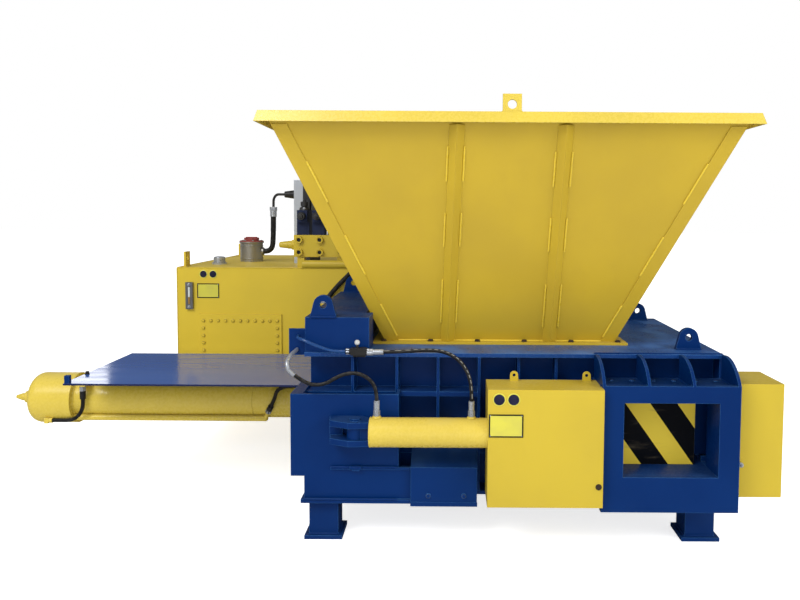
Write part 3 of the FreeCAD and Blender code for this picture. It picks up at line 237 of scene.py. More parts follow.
def enamel(name, colour, faded, dust_and_sheen, wear_and_highlight, edge=0.003, gloss=0.32, dust_and_sheen_share=0.5, shine=0.3, pale=0.4):
    """Sprayed enamel on steel plate. Broad clouds move the colour between two shades, drips run down in thin
    streaks, dust lies on level faces and near the floor, brightened on the deck and the cylinders into a
    painted sheen, and every edge is a little paler as a painted highlight, more so where the paint is worn."""
    material, nodes, surface, place = finish(name, gloss, shine=shine)
    normal, edges = rounded_edges(nodes, edge)
    shade = mixed(nodes, between(nodes, cloud(nodes, place, 1.7, 5.0), 0.35, 0.68, 0.0, 1.0), colour, faded)
    streak = between(nodes, cloud(nodes, place, 9.0, 6.0, (1.0, 1.0, 0.18)), 0.52, 0.74, 0.0, 0.35)
    shade = mixed(nodes, streak, shade, faded)
    level = combined(nodes, "MULTIPLY", upward(nodes), dust_and_sheen_share)
    foot = combined(nodes, "MULTIPLY", low_down(nodes, place, 0.02, 0.30), 0.35 * dust_and_sheen_share)
    patch = between(nodes, cloud(nodes, place, 5.5, 6.0), 0.38, 0.70, 0.25, 1.0)
    film = combined(nodes, "MULTIPLY", combined(nodes, "MAXIMUM", level, foot), patch)
    shade = mixed(nodes, film, shade, dust_and_sheen)
    worn_and_lit = between(nodes, cloud(nodes, place, 23.0, 6.0), 0.55, 0.66, 0.0, 0.85)
    worn_and_lit = combined(nodes, "MULTIPLY", worn_and_lit, edges)
    # the pale share alone lifts every edge towards the wear colour: a painted highlight along all edges
    worn_and_lit = combined(nodes, "MAXIMUM", worn_and_lit, combined(nodes, "MULTIPLY", edges, pale))
    nodes.links.new(mixed(nodes, worn_and_lit, shade, wear_and_highlight), surface.inputs["Base Color"])
    fleck = cloud(nodes, place, 60.0, 3.0)
    dull = between(nodes, combined(nodes, "ADD", fleck, film), 0.3, 1.2, gloss - 0.04, gloss + 0.24)
    nodes.links.new(dull, surface.inputs["Roughness"])
    relief(nodes, surface, combined(nodes, "ADD", cloud(nodes, place, 160.0, 2.0), fleck), 0.000016, normal)
    return material


def painted(material, *solids):
    """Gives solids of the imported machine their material."""
    for solid in solids:
        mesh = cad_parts[solid].data
        mesh.materials.clear()
        mesh.materials.append(material)


# a pale blue both for worn edges and for the painted highlight along every edge of the blue paint
worn_and_lit_blue = (0.050, 0.180, 0.44)
blue_enamel = enamel("blue_enamel", (0.0006, 0.0185, 0.104), (0.0012, 0.0235, 0.124), (0.030, 0.075, 0.19),
                     worn_and_lit_blue, edge=0.004, gloss=0.36, dust_and_sheen_share=0.5, shine=0.10, pale=0.8)
# the deck's enamel is a brighter copy of the body's blue; its bright film on level faces is dust and a
# painted sheen
lit_deck_enamel = enamel("lit_deck_enamel", (0.0050, 0.0380, 0.165), (0.0070, 0.0440, 0.185), (0.062, 0.175, 0.48),
                     worn_and_lit_blue, edge=0.004, gloss=0.24, dust_and_sheen_share=0.8, shine=0.25, pale=0.8)
painted(blue_enamel, "base_frame", "front_wall", "rear_wall", "end_wall", "chamber_roof", "head_plate",
        "top_tie_box", "window_frame", "lifting_lugs", "gate_guides", "support_legs", "pipe_cover")
painted(lit_deck_enamel, "top_deck")


def tube_faces(rings, sides):
    """Index quads of a tube whose points are stored ring by ring: each ring's last point joins its first."""
    ring, side = np.meshgrid(np.arange(rings - 1), np.arange(sides), indexing="ij")
    after = (side + 1) % sides
    return np.stack([ring * sides + side, ring * sides + after,
                     (ring + 1) * sides + after, (ring + 1) * sides + side], axis=-1).reshape(-1, 4)


def two_across(axis):
    """Two unit vectors square to an axis and to each other: the first is level unless the axis is upright."""
    axis = axis / np.linalg.norm(axis)
    side = np.cross((0.0, 0.0, 1.0), axis)
    if np.linalg.norm(side) < 1e-6:
        side = np.array([1.0, 0.0, 0.0])
    side = side / np.linalg.norm(side)
    return side, np.cross(axis, side)


def circle(axis, steps):
    """Unit vectors round an axis: cos a * side + sin a * up, for evenly spaced turns a."""
    side, up = two_across(axis)
    turn = np.linspace(0, 2 * math.pi, steps, endpoint=False)
    return np.cos(turn)[:, None] * side + np.sin(turn)[:, None] * up


def weld_bead(start, end, radius, pitch=5.0, sides=7):
    """A ripple weld between two points: a round bar whose radius is r * (1 + 0.16 * |sin(pi * s / pitch)|),
    with s the way along it in millimetres. It is pinched to nothing over one ripple at both ends, and its
    middle line wanders sideways by up to a twentieth of r."""
    start, end = np.array(start), np.array(end)
    length = np.linalg.norm(end - start) * 1000
    steps = max(8, int(length / pitch * 3))
    way = np.linspace(0, length, steps + 1)
    swell = 1 + 0.16 * np.abs(np.sin(math.pi * way / pitch))
    pinch = np.clip(np.minimum(way, length - way) / pitch, 0, 1) ** 0.5
    side = two_across(end - start)[0]
    wander = 0.05 * radius * np.sin(way / 17.0 + length)
    centre = start + (way / length)[:, None] * (end - start) + (wander / 1000)[:, None] * side
    bar = (radius * swell * pinch / 1000)[:, None, None] * circle(end - start, sides)[None]
    return (centre[:, None, :] + bar).reshape(-1, 3), tube_faces(steps + 1, sides)


def new_piece(name, shapes, material, body, sharp=32.0, rounding=0.0):
    """One mesh from several shapes of points and index quads: doubles are merged so that poles and seams
    close, normals are turned outwards, and faces are smooth up to the sharp angle in degrees."""
    offsets = np.cumsum([0] + [len(points) for points, faces in shapes])
    points = np.concatenate([points for points, faces in shapes])
    faces = np.concatenate([faces + start for (corners, faces), start in zip(shapes, offsets)])
    mesh = bpy.data.meshes.new(name)
    mesh.from_pydata(points.tolist(), [], faces.tolist())
    work = bmesh.new()
    work.from_mesh(mesh)
    bmesh.ops.remove_doubles(work, verts=work.verts, dist=1e-6)
    bmesh.ops.dissolve_degenerate(work, edges=work.edges, dist=1e-7)
    bmesh.ops.recalc_face_normals(work, faces=work.faces)
    work.to_mesh(mesh)
    work.free()
    mesh.shade_smooth()
    mesh.set_sharp_from_angle(angle=math.radians(sharp))
    mesh.materials.append(material)
    piece = bpy.data.objects.new(name, mesh)
    bpy.context.scene.collection.objects.link(piece)
    if rounding:
        bevel = piece.modifiers.new("rounding", "BEVEL")
        bevel.width = rounding
        bevel.segments = 2
        bevel.limit_method = "ANGLE"
    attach(piece, body)
    return piece


def corner_welds(corners, radius):
    """Ripple welds along each stretch between one listed corner and the next, in millimetres."""
    return [weld_bead(at(*start), at(*end), radius) for start, end in zip(corners, corners[1:])]


# plates are joined by ripple welds where they meet in the open
plate_left, plate_top, shelf_top = 760, 841, 825
body_left, body_right = -762, 1446
deck_seam, foot_seam, leg_seam = 956, 22, 198
gusset, rib, lug = 16, 14, 30
body_welds = corner_welds([(plate_left, 42, plate_top), (plate_left, 42, shelf_top - 1)], 5)
for k in range(4):
    left = plate_left + k * (body_right - gusset - plate_left) / 3
    for x in (left - 1, left + gusset + 1):
        body_welds += corner_welds([(x, 45, shelf_top), (x, 238, shelf_top)], 5)
# the side plate's left edge (a hairline), its foot and its sill, then the deck's edge behind the window plate
body_welds += corner_welds([(-811, 119, 345), (-811, 119, 762)], 0.1)
body_welds += corner_welds([(-745, 103, 222), (-260, 103, 222)], 5)
body_welds += corner_welds([(-606, 110, 388), (-262, 110, 388)], 5)
body_welds += corner_welds([(plate_left + 2, 263, deck_seam), (body_right - 2, 263, deck_seam)], 4)
# each leg is welded all round to its foot and to the bed
half_leg = 76
around = [(-half_leg, -half_leg), (half_leg, -half_leg), (half_leg, half_leg), (-half_leg, half_leg),
          (-half_leg, -half_leg)]
for leg_x in (-648, 1305):
    for leg_y in (224, 1440):
        for seam_z, radius in ((foot_seam, 6), (leg_seam, 5)):
            body_welds += corner_welds([(leg_x + dx, leg_y + dy, seam_z) for dx, dy in around], radius)
# the four lifting lugs on both faces, the tie box's foot and the two open ribs of the left end
half_lug = 70
for lug_x, lug_y, foot in ((-667, 264, 1137), (-667, 1500, 1137), (1305, 395, 954), (1305, 1515, 954)):
    for y in (lug_y - 2, lug_y + lug + 2):
        body_welds += corner_welds([(lug_x - half_lug, y, foot + 2), (lug_x + half_lug, y, foot + 2)], 6)
body_welds += corner_welds([(body_left, 262, deck_seam), (-424, 262, deck_seam)], 5)
for rib_x in (-516, -283):
    for x in (rib_x - 1, rib_x + rib + 1):
        body_welds += corner_welds([(x, 368, 386), (x, 368, 724)], 4)
new_piece("body_welds", body_welds, blue_enamel, "frame", sharp=60)

# ---------------------------------------------------------------- main ram and its cover plate
# A box ram with a hardened blade on its upper front edge. The long cover plate on its back is sprayed
# blue and polished by falling scrap, so it mirrors the room; the piston rod is hard chrome.


def bare_steel(name, colour, stain, roughness, along=(0.06, 1.0, 1.0)):
    """Ground and worn steel: scratches pulled out along the stroke, stained darker in clouds."""
    material, nodes, surface, place = finish(name, roughness, 0.6)
    normal, edges = rounded_edges(nodes, 0.002)
    drawn = cloud(nodes, place, 90.0, 6.0, along)
    shade = mixed(nodes, between(nodes, cloud(nodes, place, 3.0, 6.0), 0.42, 0.72, 0.0, 0.8), colour, stain)
    shade = mixed(nodes, between(nodes, drawn, 0.45, 0.75, 0.0, 0.5), shade, stain)
    nodes.links.new(shade, surface.inputs["Base Color"])
    worn = between(nodes, drawn, 0.3, 0.7, roughness - 0.1, roughness + 0.2)
    nodes.links.new(worn, surface.inputs["Roughness"])
    relief(nodes, surface, drawn, 0.00015, normal)
    return material


worn_steel = bare_steel("worn_steel", (0.40, 0.41, 0.43), (0.20, 0.17, 0.15), 0.38)
chrome_rod = bare_steel("chrome_rod", (0.72, 0.73, 0.75), (0.60, 0.61, 0.63), 0.16, (0.1, 1.0, 1.0))
painted(worn_steel, "shear_blade", "ram_blade")
painted(chrome_rod, "main_piston_rod", "cross_piston_rod")
painted(blue_enamel, "main_ram", "cross_ram")

glossy_blue, nodes, surface, place = finish("glossy_blue", 0.16)
normal, edges = rounded_edges(nodes, 0.0015)
broad = between(nodes, cloud(nodes, place, 1.6, 3.0, (0.5, 1.0, 1.0)), 0.35, 0.68, 0.0, 1.0)
shade = mixed(nodes, broad, (0.034, 0.098, 0.35), (0.044, 0.115, 0.38))
# the cover plate's upright faces and its edges are drawn dark navy: painted shade
shade = mixed(nodes, upward(nodes), (0.004, 0.010, 0.060), shade)
shade = mixed(nodes, combined(nodes, "MULTIPLY", edges, 0.8), shade, (0.008, 0.018, 0.075))
nodes.links.new(shade, surface.inputs["Base Color"])
polish = between(nodes, cloud(nodes, place, 12.0, 6.0, (0.15, 1.0, 1.0)), 0.3, 0.7, 0.10, 0.24)
nodes.links.new(polish, surface.inputs["Roughness"])
relief(nodes, surface, cloud(nodes, place, 3.0, 2.0, (0.5, 1.0, 1.0)), 0.0002, normal)
painted(glossy_blue, "tail_plate")

block_faces = np.array([[0, 1, 3, 2], [4, 6, 7, 5], [0, 4, 5, 1], [2, 3, 7, 6], [0, 2, 6, 4], [1, 5, 7, 3]])


def block(low, high):
    """The six faces of a block between two corners in metres."""
    corner = np.array([low, high])
    points = np.array([[corner[i, 0], corner[j, 1], corner[k, 2]]
                       for i in (0, 1) for j in (0, 1) for k in (0, 1)])
    return points, block_faces


def turned(start, axis, profile, sides=40):
    """A body of revolution: point = start + along * axis + radius * (cos a * side + sin a * up), for the
    pairs (along, radius) of the profile in millimetres. Six sides make a hexagon."""
    axis = np.array(axis, float) / np.linalg.norm(axis)
    along, radius = np.array(profile, float).T / 1000
    points = np.array(start) + along[:, None, None] * axis + radius[:, None, None] * circle(axis, sides)[None]
    return points.reshape(-1, 3), tube_faces(len(profile), sides)


# directions as the operator sees them
to_right, to_left, to_back, to_front, to_top = (1, 0, 0), (-1, 0, 0), (0, 1, 0), (0, -1, 0), (0, 0, 1)
cover_top = 743.5
stop_block = block(at(-2112, 402, cover_top), at(-2084, 428, 787))
new_piece("cover_stop", [stop_block], blue_enamel, "main_ram", rounding=0.0015)
oiled_black = enamel("oiled_black", (0.012, 0.012, 0.013), (0.022, 0.021, 0.020), (0.05, 0.048, 0.045),
                     (0.16, 0.16, 0.16), edge=0.001, gloss=0.4)
stop_bolt = turned(at(-2102, 646, cover_top), to_top,
                   [(0, 0), (0, 15), (3, 15), (3, 11.5), (15, 11.5), (17, 9.5), (17, 0)], 6)
new_piece("cover_bolt", [stop_bolt], oiled_black, "main_ram")

# ---------------------------------------------------------------- main cylinder
# A thick drawn tube with a welded, rounded head and a flanged gland, painted yellow. Ripple welds close the
# head, the nozzle's root and the gland, and the cap of the cross cylinder is welded the same way.
yellow_enamel = enamel("yellow_enamel", (0.540, 0.400, 0.032), (0.495, 0.365, 0.033), (0.50, 0.42, 0.15),
                       (0.66, 0.50, 0.08), dust_and_sheen_share=0.35)
# a paler, bluer copy of the yellow: its extra lightness, blue and pale film are a painted sheen of reflected
# light
sheen_yellow_enamel = enamel("sheen_yellow_enamel", (0.645, 0.490, 0.066), (0.595, 0.450, 0.064),
                         (0.54, 0.46, 0.19), (0.68, 0.53, 0.12), gloss=0.28, dust_and_sheen_share=0.35, shine=0.5)
painted(sheen_yellow_enamel, "main_cylinder_head", "main_cylinder_barrel", "main_cylinder_gland", "cylinder_pipe",
        "cross_cylinder_gland", "cross_cylinder_barrel")


def ring_weld(centre, axis, radius, thick, pitch=7.0, sides=7):
    """A ripple weld round a pipe: point = centre + R * outward + r * (1 + 0.16 * |sin|) * (cos b * outward +
    sin b * axis), a closed ring of the stated radius R and thickness r in millimetres."""
    axis = np.array(axis, float)
    steps = int(2 * math.pi * radius / pitch) * 3
    outward = circle(axis, steps)
    swell = 1 + 0.16 * np.abs(np.sin(np.arange(steps) * math.pi / 3))
    about = np.linspace(0, 2 * math.pi, sides, endpoint=False)
    ring = (np.cos(about)[None, :, None] * outward[:, None, :] + np.sin(about)[None, :, None] * axis)
    bar = (thick * swell / 1000)[:, None, None] * ring
    points = np.array(centre) + (radius / 1000) * outward[:, None, :] + bar
    last = np.arange(sides)
    after = (last + 1) % sides
    seam = np.stack([(steps - 1) * sides + last, (steps - 1) * sides + after, after, last], -1)
    return points.reshape(-1, 3), np.concatenate([tube_faces(steps, sides), seam])


main_axis = (850, 557.5)
cross_axis_x, cross_axis_z = 1105, 569
cylinder_welds = [ring_weld(at(-2240, *main_axis), to_right, 115, 5),
                  ring_weld(at(-2515, *main_axis), to_right, 36, 4),
                  ring_weld(at(-845, *main_axis), to_right, 115, 5),
                  ring_weld(at(cross_axis_x, 2904, cross_axis_z), to_back, 101, 5)]
new_piece("cylinder_welds", cylinder_welds, sheen_yellow_enamel, "frame", sharp=60)

# ---------------------------------------------------------------- gate and its cylinder
# A slab that slides behind the window plate, sprayed with wide leaning bands of yellow and black. Its
# cylinder hangs in a forked bracket and pushes it through a welded arm.
band_slope, band_pitch = 0.714, 0.272
first_band = at(921, 0, 703)
banded, nodes, surface, place = finish("gate_bands", 0.40, shine=0.1)
normal, edges = rounded_edges(nodes, 0.003)
parts = split(nodes, place)
lean = combined(nodes, "ADD", parts["X"], combined(nodes, "MULTIPLY", parts["Z"], band_slope))
lean = combined(nodes, "SUBTRACT", lean, float(first_band[0] + band_slope * first_band[2]))
lap = combined(nodes, "FLOORED_MODULO", lean, band_pitch)
band = between(nodes, lap, 0.1290, 0.1310, 0.0, 1.0)
shade = mixed(nodes, band, (0.66, 0.50, 0.050), (0.0030, 0.0035, 0.0055))
scuff = between(nodes, cloud(nodes, place, 30.0, 6.0, (0.2, 1.0, 1.0)), 0.58, 0.78, 0.0, 0.28)
shade = mixed(nodes, scuff, shade, (0.16, 0.13, 0.08))
shade = mixed(nodes, combined(nodes, "MULTIPLY", edges, 0.7), shade, (0.12, 0.11, 0.10))
nodes.links.new(shade, surface.inputs["Base Color"])
relief(nodes, surface, cloud(nodes, place, 120.0, 3.0), 0.0002, normal)
painted(banded, "gate_plate")
painted(sheen_yellow_enamel, "gate_cylinder_barrel", "gate_cylinder_gland")
painted(chrome_rod, "gate_rod")
painted(blue_enamel, "gate_bracket", "gate_cylinder_eye")
zinc = bare_steel("zinc_plate", (0.50, 0.53, 0.58), (0.33, 0.35, 0.38), 0.30, (1.0, 1.0, 1.0))
gate_axis_y, gate_axis_z, port_top = 38, 592, 667
port_left, port_right = -362, 112
gate_welds = [ring_weld(at(-394, gate_axis_y, gate_axis_z), to_right, 72, 4),
              ring_weld(at(port_left, gate_axis_y, port_top), to_top, 21, 3),
              ring_weld(at(port_right, gate_axis_y, port_top), to_top, 21, 3)]
new_piece("gate_cylinder_welds", gate_welds, sheen_yellow_enamel, "frame", sharp=60)

# ---------------------------------------------------------------- hopper
# Four flared sheets on a bolted flange, stiffened by angle bars and corner strips that are stitched on
# with three welds a line, under a folded rim lip. All of it is sprayed yellow after welding.
hopper_enamel = enamel("hopper_enamel", (0.515, 0.358, 0.0265), (0.470, 0.325, 0.0275), (0.50, 0.40, 0.12),
                       (0.66, 0.50, 0.07), dust_and_sheen_share=0.35)
# the welds are a brighter yellow than the sheets they join: a painted highlight where the beads catch the
# light
lit_weld_yellow = enamel("lit_weld_yellow", (0.72, 0.53, 0.045), (0.66, 0.48, 0.04), (0.60, 0.50, 0.15),
                     (0.60, 0.45, 0.10), gloss=0.30, dust_and_sheen_share=0.35, shine=0.4)
painted(hopper_enamel, "hopper_shell", "hopper_stiffeners")
# the rim takes the paler yellow: a painted highlight on its lit lip
painted(sheen_yellow_enamel, "hopper_rim")
# the front and the back sheet, each at its foot and at its head
foot_y, head_y = (571.0, 1189.0), (22.0, 1738.0)
foot_z, head_z = 967.0, 2175.0
bar_top = 0.950
hopper_middle, foot_half, flare = 285, 571, 539


def stitch(foot_x, head_x, low, high, side):
    """One weld on the front (0) or back (1) sheet between two shares of its height, along the line that leads
    from foot_x at the sheet's foot to head_x at the top of the bars."""
    ends = []
    for share in (low, high):
        x = foot_x + share / bar_top * (head_x - foot_x)
        y = foot_y[side] + share * (head_y[side] - foot_y[side])
        ends.append(at(x, y - 4 + 8 * side, foot_z + share * (head_z - foot_z)))
    return weld_bead(ends[0], ends[1], 5.0)


stitches = []
for side in (0, 1):
    for foot_x, head_x, lift in ((-11.0, 31.0, 0.0), (566.0, 566.0, -0.02)):
        for edge in (-42, 42):
            for low, high in ((0.09, 0.30), (0.45, 0.60), (0.73, 0.875)):
                stitches.append(stitch(foot_x + edge, head_x + edge, low + lift, high + lift, side))
    for hand in (-1, 1):
        for low, high in ((0.02, 0.18), (0.32, 0.50), (0.64, 0.81)):
            corner_x = hopper_middle + hand * foot_half
            stitches.append(stitch(corner_x, corner_x + hand * flare * bar_top, low, high, side))
for y in (569, 1191):
    stitches += corner_welds([(-368, y, 969), (938, y, 969)], 4)
for x in (251, 343):
    stitches += corner_welds([(x, 1, 2183), (x, 17, 2183)], 4)
new_piece("hopper_stitches", stitches, lit_weld_yellow, "frame", sharp=60)

# ---------------------------------------------------------------- sheet guards
# Folded steel boxes over the gate's track at both sides of the window, painted yellow and bolted on. The
# front one and the oil tank each carry two plain dark discs and a blank plate on four small rivets.


def coated(name, roughness, first, second, patch, detail=4.0, grain=200.0, depth=0.0001, coat=0.0, shine=0.5,
           crisp=False):
    """A small part with an even coat: two near shades in clouds, crisp where they part clearly, and a fine
    grain."""
    material, nodes, surface, place = finish(name, roughness, coat=coat, shine=shine)
    share = cloud(nodes, place, patch, detail)
    if crisp:
        share = between(nodes, share, 0.35, 0.7, 0.0, 1.0)
    nodes.links.new(mixed(nodes, share, first, second), surface.inputs["Base Color"])
    relief(nodes, surface, cloud(nodes, place, grain, 2.0), depth)
    return material


painted(yellow_enamel, "left_guard", "right_guard")
plate_yellow = coated("blank_plate", 0.30, (0.62, 0.57, 0.06), (0.56, 0.51, 0.07), 14.0, 5.0, 240.0, coat=0.3,
                      crisp=True)
plate_edge = coated("plate_border", 0.5, (0.008, 0.008, 0.009), (0.016, 0.016, 0.017), 30.0, 5.0, 260.0,
                    shine=0.15, crisp=True)
disc_navy = coated("plain_discs", 0.4, (0.010, 0.011, 0.034), (0.017, 0.018, 0.046), 22.0, 4.0, 240.0,
                   shine=0.2, crisp=True)


def edge_frame(low, high, wide, front, back):
    """A flat frame of four bars round a rectangle that faces the operator, in millimetres."""
    (x0, z0), (x1, z1) = low, high
    bars = [((x0, z0), (x1, z0 + wide)), ((x0, z1 - wide), (x1, z1)),
            ((x0, z0 + wide), (x0 + wide, z1 - wide)), ((x1 - wide, z0 + wide), (x1, z1 - wide))]
    return [block(at(a[0], front, a[1]), at(b[0], back, b[1])) for a, b in bars]


guard_front, tank_front = -45.0, 1620.0
rivet = [(0, 0), (0, 3.2), (1.6, 2.6), (2.4, 1.4), (2.7, 0)]
plate_faces, plate_frames, rivets, rims, discs = [], [], [], [], []
for x0, x1, z0, z1, wall in ((197, 362, 596, 706, guard_front), (-1784, -1633, 1082, 1181, tank_front)):
    plate_faces.append(block(at(x0, wall - 2, z0), at(x1, wall, z1)))
    plate_frames += edge_frame((x0 - 2, z0 - 2), (x1 + 2, z1 + 2), 6.5, wall - 2.6, wall)
    for x in (x0 + 5, x1 - 5):
        for z in (z0 + 5, z1 - 5):
            rivets.append(turned(at(x, wall - 2, z), to_front, rivet, 16))
for x, wall, z, across in ((245, guard_front, 781, 65), (316, guard_front, 781, 65),
                           (-1741, tank_front, 1249, 59), (-1673, tank_front, 1249, 59)):
    radius = across / 2
    rim = [(0, 0), (0, radius), (1.6, radius), (2.2, radius - 1), (2.2, 0)]
    rims.append(turned(at(x, wall, z), to_front, rim))
    discs.append(turned(at(x, wall, z), to_front, [(1, 0), (1, radius - 5), (3, radius - 6), (3, 0)]))
new_piece("blank_plates", plate_faces + rims, plate_yellow, "frame")
new_piece("plain_discs", discs, disc_navy, "frame")
new_piece("plate_borders", plate_frames, plate_edge, "frame")
new_piece("plate_rivets", rivets, zinc, "frame")

# ---------------------------------------------------------------- oil tank
# A welded sheet box with a bolted cleaning hatch, a level gauge under glass, a breather, a cast return
# filter with a red cap and lifting eyes. Its corners are welded outside and ground.
tank_enamel = enamel("tank_enamel", (0.650, 0.475, 0.042), (0.600, 0.440, 0.042), (0.76, 0.60, 0.19),
                     (0.74, 0.58, 0.10), gloss=0.34, dust_and_sheen_share=0.45, shine=0.18)
painted(tank_enamel, "oil_tank", "tank_hatch")
tank_left, tank_right, tank_top, tank_foot, tank_back = -1927, -327, 1295, 302, 3218
tank_welds = corner_welds([(tank_left, tank_front, tank_top), (tank_right - 2, tank_front, tank_top)], 3)
tank_welds += corner_welds([(tank_left, tank_front + 2, tank_top), (tank_left, tank_back, tank_top)], 3)
for x in (tank_left, tank_right):
    tank_welds += corner_welds([(x, tank_front, tank_foot), (x, tank_front, tank_top - 2)], 3)
for eye_front in (1680, 3070):
    for x in (-1900, -1884):
        tank_welds += corner_welds([(x, eye_front, tank_top + 2), (x, eye_front + 90, tank_top + 2)], 4)
new_piece("tank_welds", tank_welds, tank_enamel, "frame", sharp=60)

cast_grey, nodes, surface, place = finish("cast_aluminium", 0.48, 0.9)
normal, edges = rounded_edges(nodes, 0.004)
grain = cloud(nodes, place, 220.0, 4.0)
shade = mixed(nodes, between(nodes, grain, 0.35, 0.7, 0.0, 1.0), (0.50, 0.49, 0.47), (0.36, 0.35, 0.33))
nodes.links.new(shade, surface.inputs["Base Color"])
relief(nodes, surface, grain, 0.0006, normal)
painted(cast_grey, "return_filter")
red_cap = enamel("red_cap", (0.30, 0.040, 0.034), (0.26, 0.050, 0.044), (0.33, 0.17, 0.15),
                 (0.45, 0.36, 0.33), gloss=0.40)
painted(red_cap, "filter_cap")


def over_filter(turn, radius, z):
    """A place above the filter, at a turn in radians and a radius in millimetres round its axis."""
    filter_x, filter_y = -1589, 2343
    return at(filter_x + radius * math.cos(turn), filter_y + radius * math.sin(turn), z)


lid = [turned(over_filter(0, 0, 1452), to_top, [(0, 0), (0, 94), (1.5, 96), (6.5, 96), (8, 94), (8, 0)], 64)]
for turn in (0.4, 1.9, 3.5, 5.0):
    lid.append(turned(over_filter(turn, 48, 1474), to_top, [(0, 0), (0, 13), (9, 11), (11, 8), (11, 0)], 20))
new_piece("filter_lid", lid, red_cap, "frame")
filter_rings = [turned(over_filter(0, 0, z), to_top, [(0, 88), (1, 92), (7, 92), (8, 88)], 64)
                for z in (1315, 1413)]
for k in range(8):
    lid_screw = over_filter(math.radians(45 * k + 22.5), 78, 1459)
    filter_rings.append(turned(lid_screw, to_top, [(0, 0), (0, 8), (6, 8), (8, 6.5), (8, 0)], 6))
new_piece("filter_hoops", filter_rings, cast_grey, "frame")

painted(zinc, "filler_breather")
breather_x, breather_y = -1735, 1975
knurl = [(0, 41), (1.0, 43.2), (2.6, 43.2), (3.6, 41)]
knurls = [turned(at(breather_x, breather_y, 1309 + 4.5 * k), to_top, knurl, 48) for k in range(7)]
knurls.append(turned(at(breather_x, breather_y, 1344), to_top,
                     [(0, 42), (4, 41), (8, 34), (10, 20), (10.5, 0)], 48))
new_piece("breather_cap", knurls, zinc, "frame")

gauge_body = coated("gauge_plate", 0.35, (0.085, 0.088, 0.090), (0.14, 0.14, 0.14), 30.0, coat=0.4)
painted(gauge_body, "level_gauge")
oil_level, clear_oil = 1.085, 1.092
gauge_glass, nodes, surface, place = finish("gauge_glass", 0.08, 0.0, 0.5)
oil = low_down(nodes, place, oil_level, clear_oil)
nodes.links.new(mixed(nodes, oil, (0.62, 0.66, 0.62), (0.30, 0.17, 0.05)), surface.inputs["Base Color"])
relief(nodes, surface, cloud(nodes, place, 90.0, 2.0), 0.0001)
gauge_x = -1838
glass_bar = turned(at(gauge_x, 1607, 1038), to_top,
                   [(0, 0), (0, 8), (2, 10), (118, 10), (120, 8), (120, 0)], 24)
new_piece("gauge_tube", [glass_bar], gauge_glass, "frame")
gauge_screws = []
for z in (1018, 1176):
    gauge_screws.append(turned(at(gauge_x, 1598, z), to_front, [(0, 0), (0, 9), (6, 9), (8, 7), (8, 0)], 6))
    gauge_screws.append(turned(at(gauge_x, 1599, z), to_front, [(0, 0), (0, 12), (1.5, 12), (1.5, 0)], 24))
new_piece("gauge_screws", gauge_screws, zinc, "frame")

# ---------------------------------------------------------------- valve block, motor, pump and cooler
# Machined manifold on a stand with ringed ports and three solenoid valves, an electric motor that drives
# a pump through a bell housing, and a finned cooler with a black cowl round its fan.
valve_dark = enamel("valve_dark", (0.010, 0.018, 0.055), (0.014, 0.024, 0.065), (0.05, 0.06, 0.09),
                    (0.10, 0.12, 0.16), edge=0.002, gloss=0.38)
motor_blue = enamel("motor_blue", (0.02, 0.06, 0.19), (0.03, 0.08, 0.22), (0.14, 0.17, 0.22),
                    (0.2, 0.22, 0.26), gloss=0.4)
black_plastic = coated("black_plastic", 0.5, (0.018, 0.018, 0.019), (0.035, 0.035, 0.036), 50.0, grain=300.0,
                       depth=0.0002)
painted(yellow_enamel, "valve_manifold")
painted(oiled_black, "check_valve")
painted(valve_dark, "solenoid_valves", "hydraulic_pump")
painted(motor_blue, "pump_motor")
painted(black_plastic, "cooler_fan")

# the finned core ends where the fan's cowl starts, both in metres from the machine's middle
fin_end, cowl_start = -0.669, -0.667
cooler_metal, nodes, surface, place = finish("cooler_fins", 0.5, 0.15)
fins = nodes.nodes.new("ShaderNodeTexWave")
fins.wave_type = "BANDS"
fins.bands_direction = "Z"
fins.inputs["Scale"].default_value = 40.0
fins.inputs["Distortion"].default_value = 0.4
nodes.links.new(place, fins.inputs["Vector"])
# the darker band of each fin stripe stands for the shaded gap between fins: painted shade
shade = mixed(nodes, fins.outputs["Fac"], (0.50, 0.53, 0.58), (0.38, 0.41, 0.46))
cowl = between(nodes, split(nodes, place)["X"], fin_end, cowl_start, 0.0, 1.0)
nodes.links.new(mixed(nodes, cowl, shade, (0.020, 0.021, 0.024)), surface.inputs["Base Color"])
relief(nodes, surface, fins.outputs["Fac"], 0.0015)
painted(cooler_metal, "oil_cooler")

port_ring = [(0, 14), (0, 25.5), (2, 25.5), (3, 24.5), (3, 19), (1, 17), (-6, 15), (-6, 14)]
port_plug = [(0, 0), (0, 13.8), (3, 13.0), (3, 7), (0.6, 6), (0.6, 0)]
ports, plugs = [], []
for k in range(3):
    for z in (1406, 1494):
        port_x = -1070 + 146 * k
        ports.append(turned(at(port_x, 1637, z), to_front, port_ring))
        plugs.append(turned(at(port_x, 1646, z), to_front, port_plug))
new_piece("port_rings", ports, yellow_enamel, "frame")
new_piece("port_plugs", plugs, oiled_black, "frame")
relief_nut = turned(at(-1109, 1720, 1456), to_left, [(0, 0), (0, 40), (22, 40), (24, 38), (24, 0)], 6)
relief_body = turned(at(-1132, 1720, 1456), to_left, [(0, 0), (0, 29), (30, 29), (34, 26), (46, 26), (58, 24),
                                                      (86, 21), (93, 15), (93, 0)], 36)
new_piece("relief_valve", [relief_nut, relief_body], yellow_enamel, "frame")

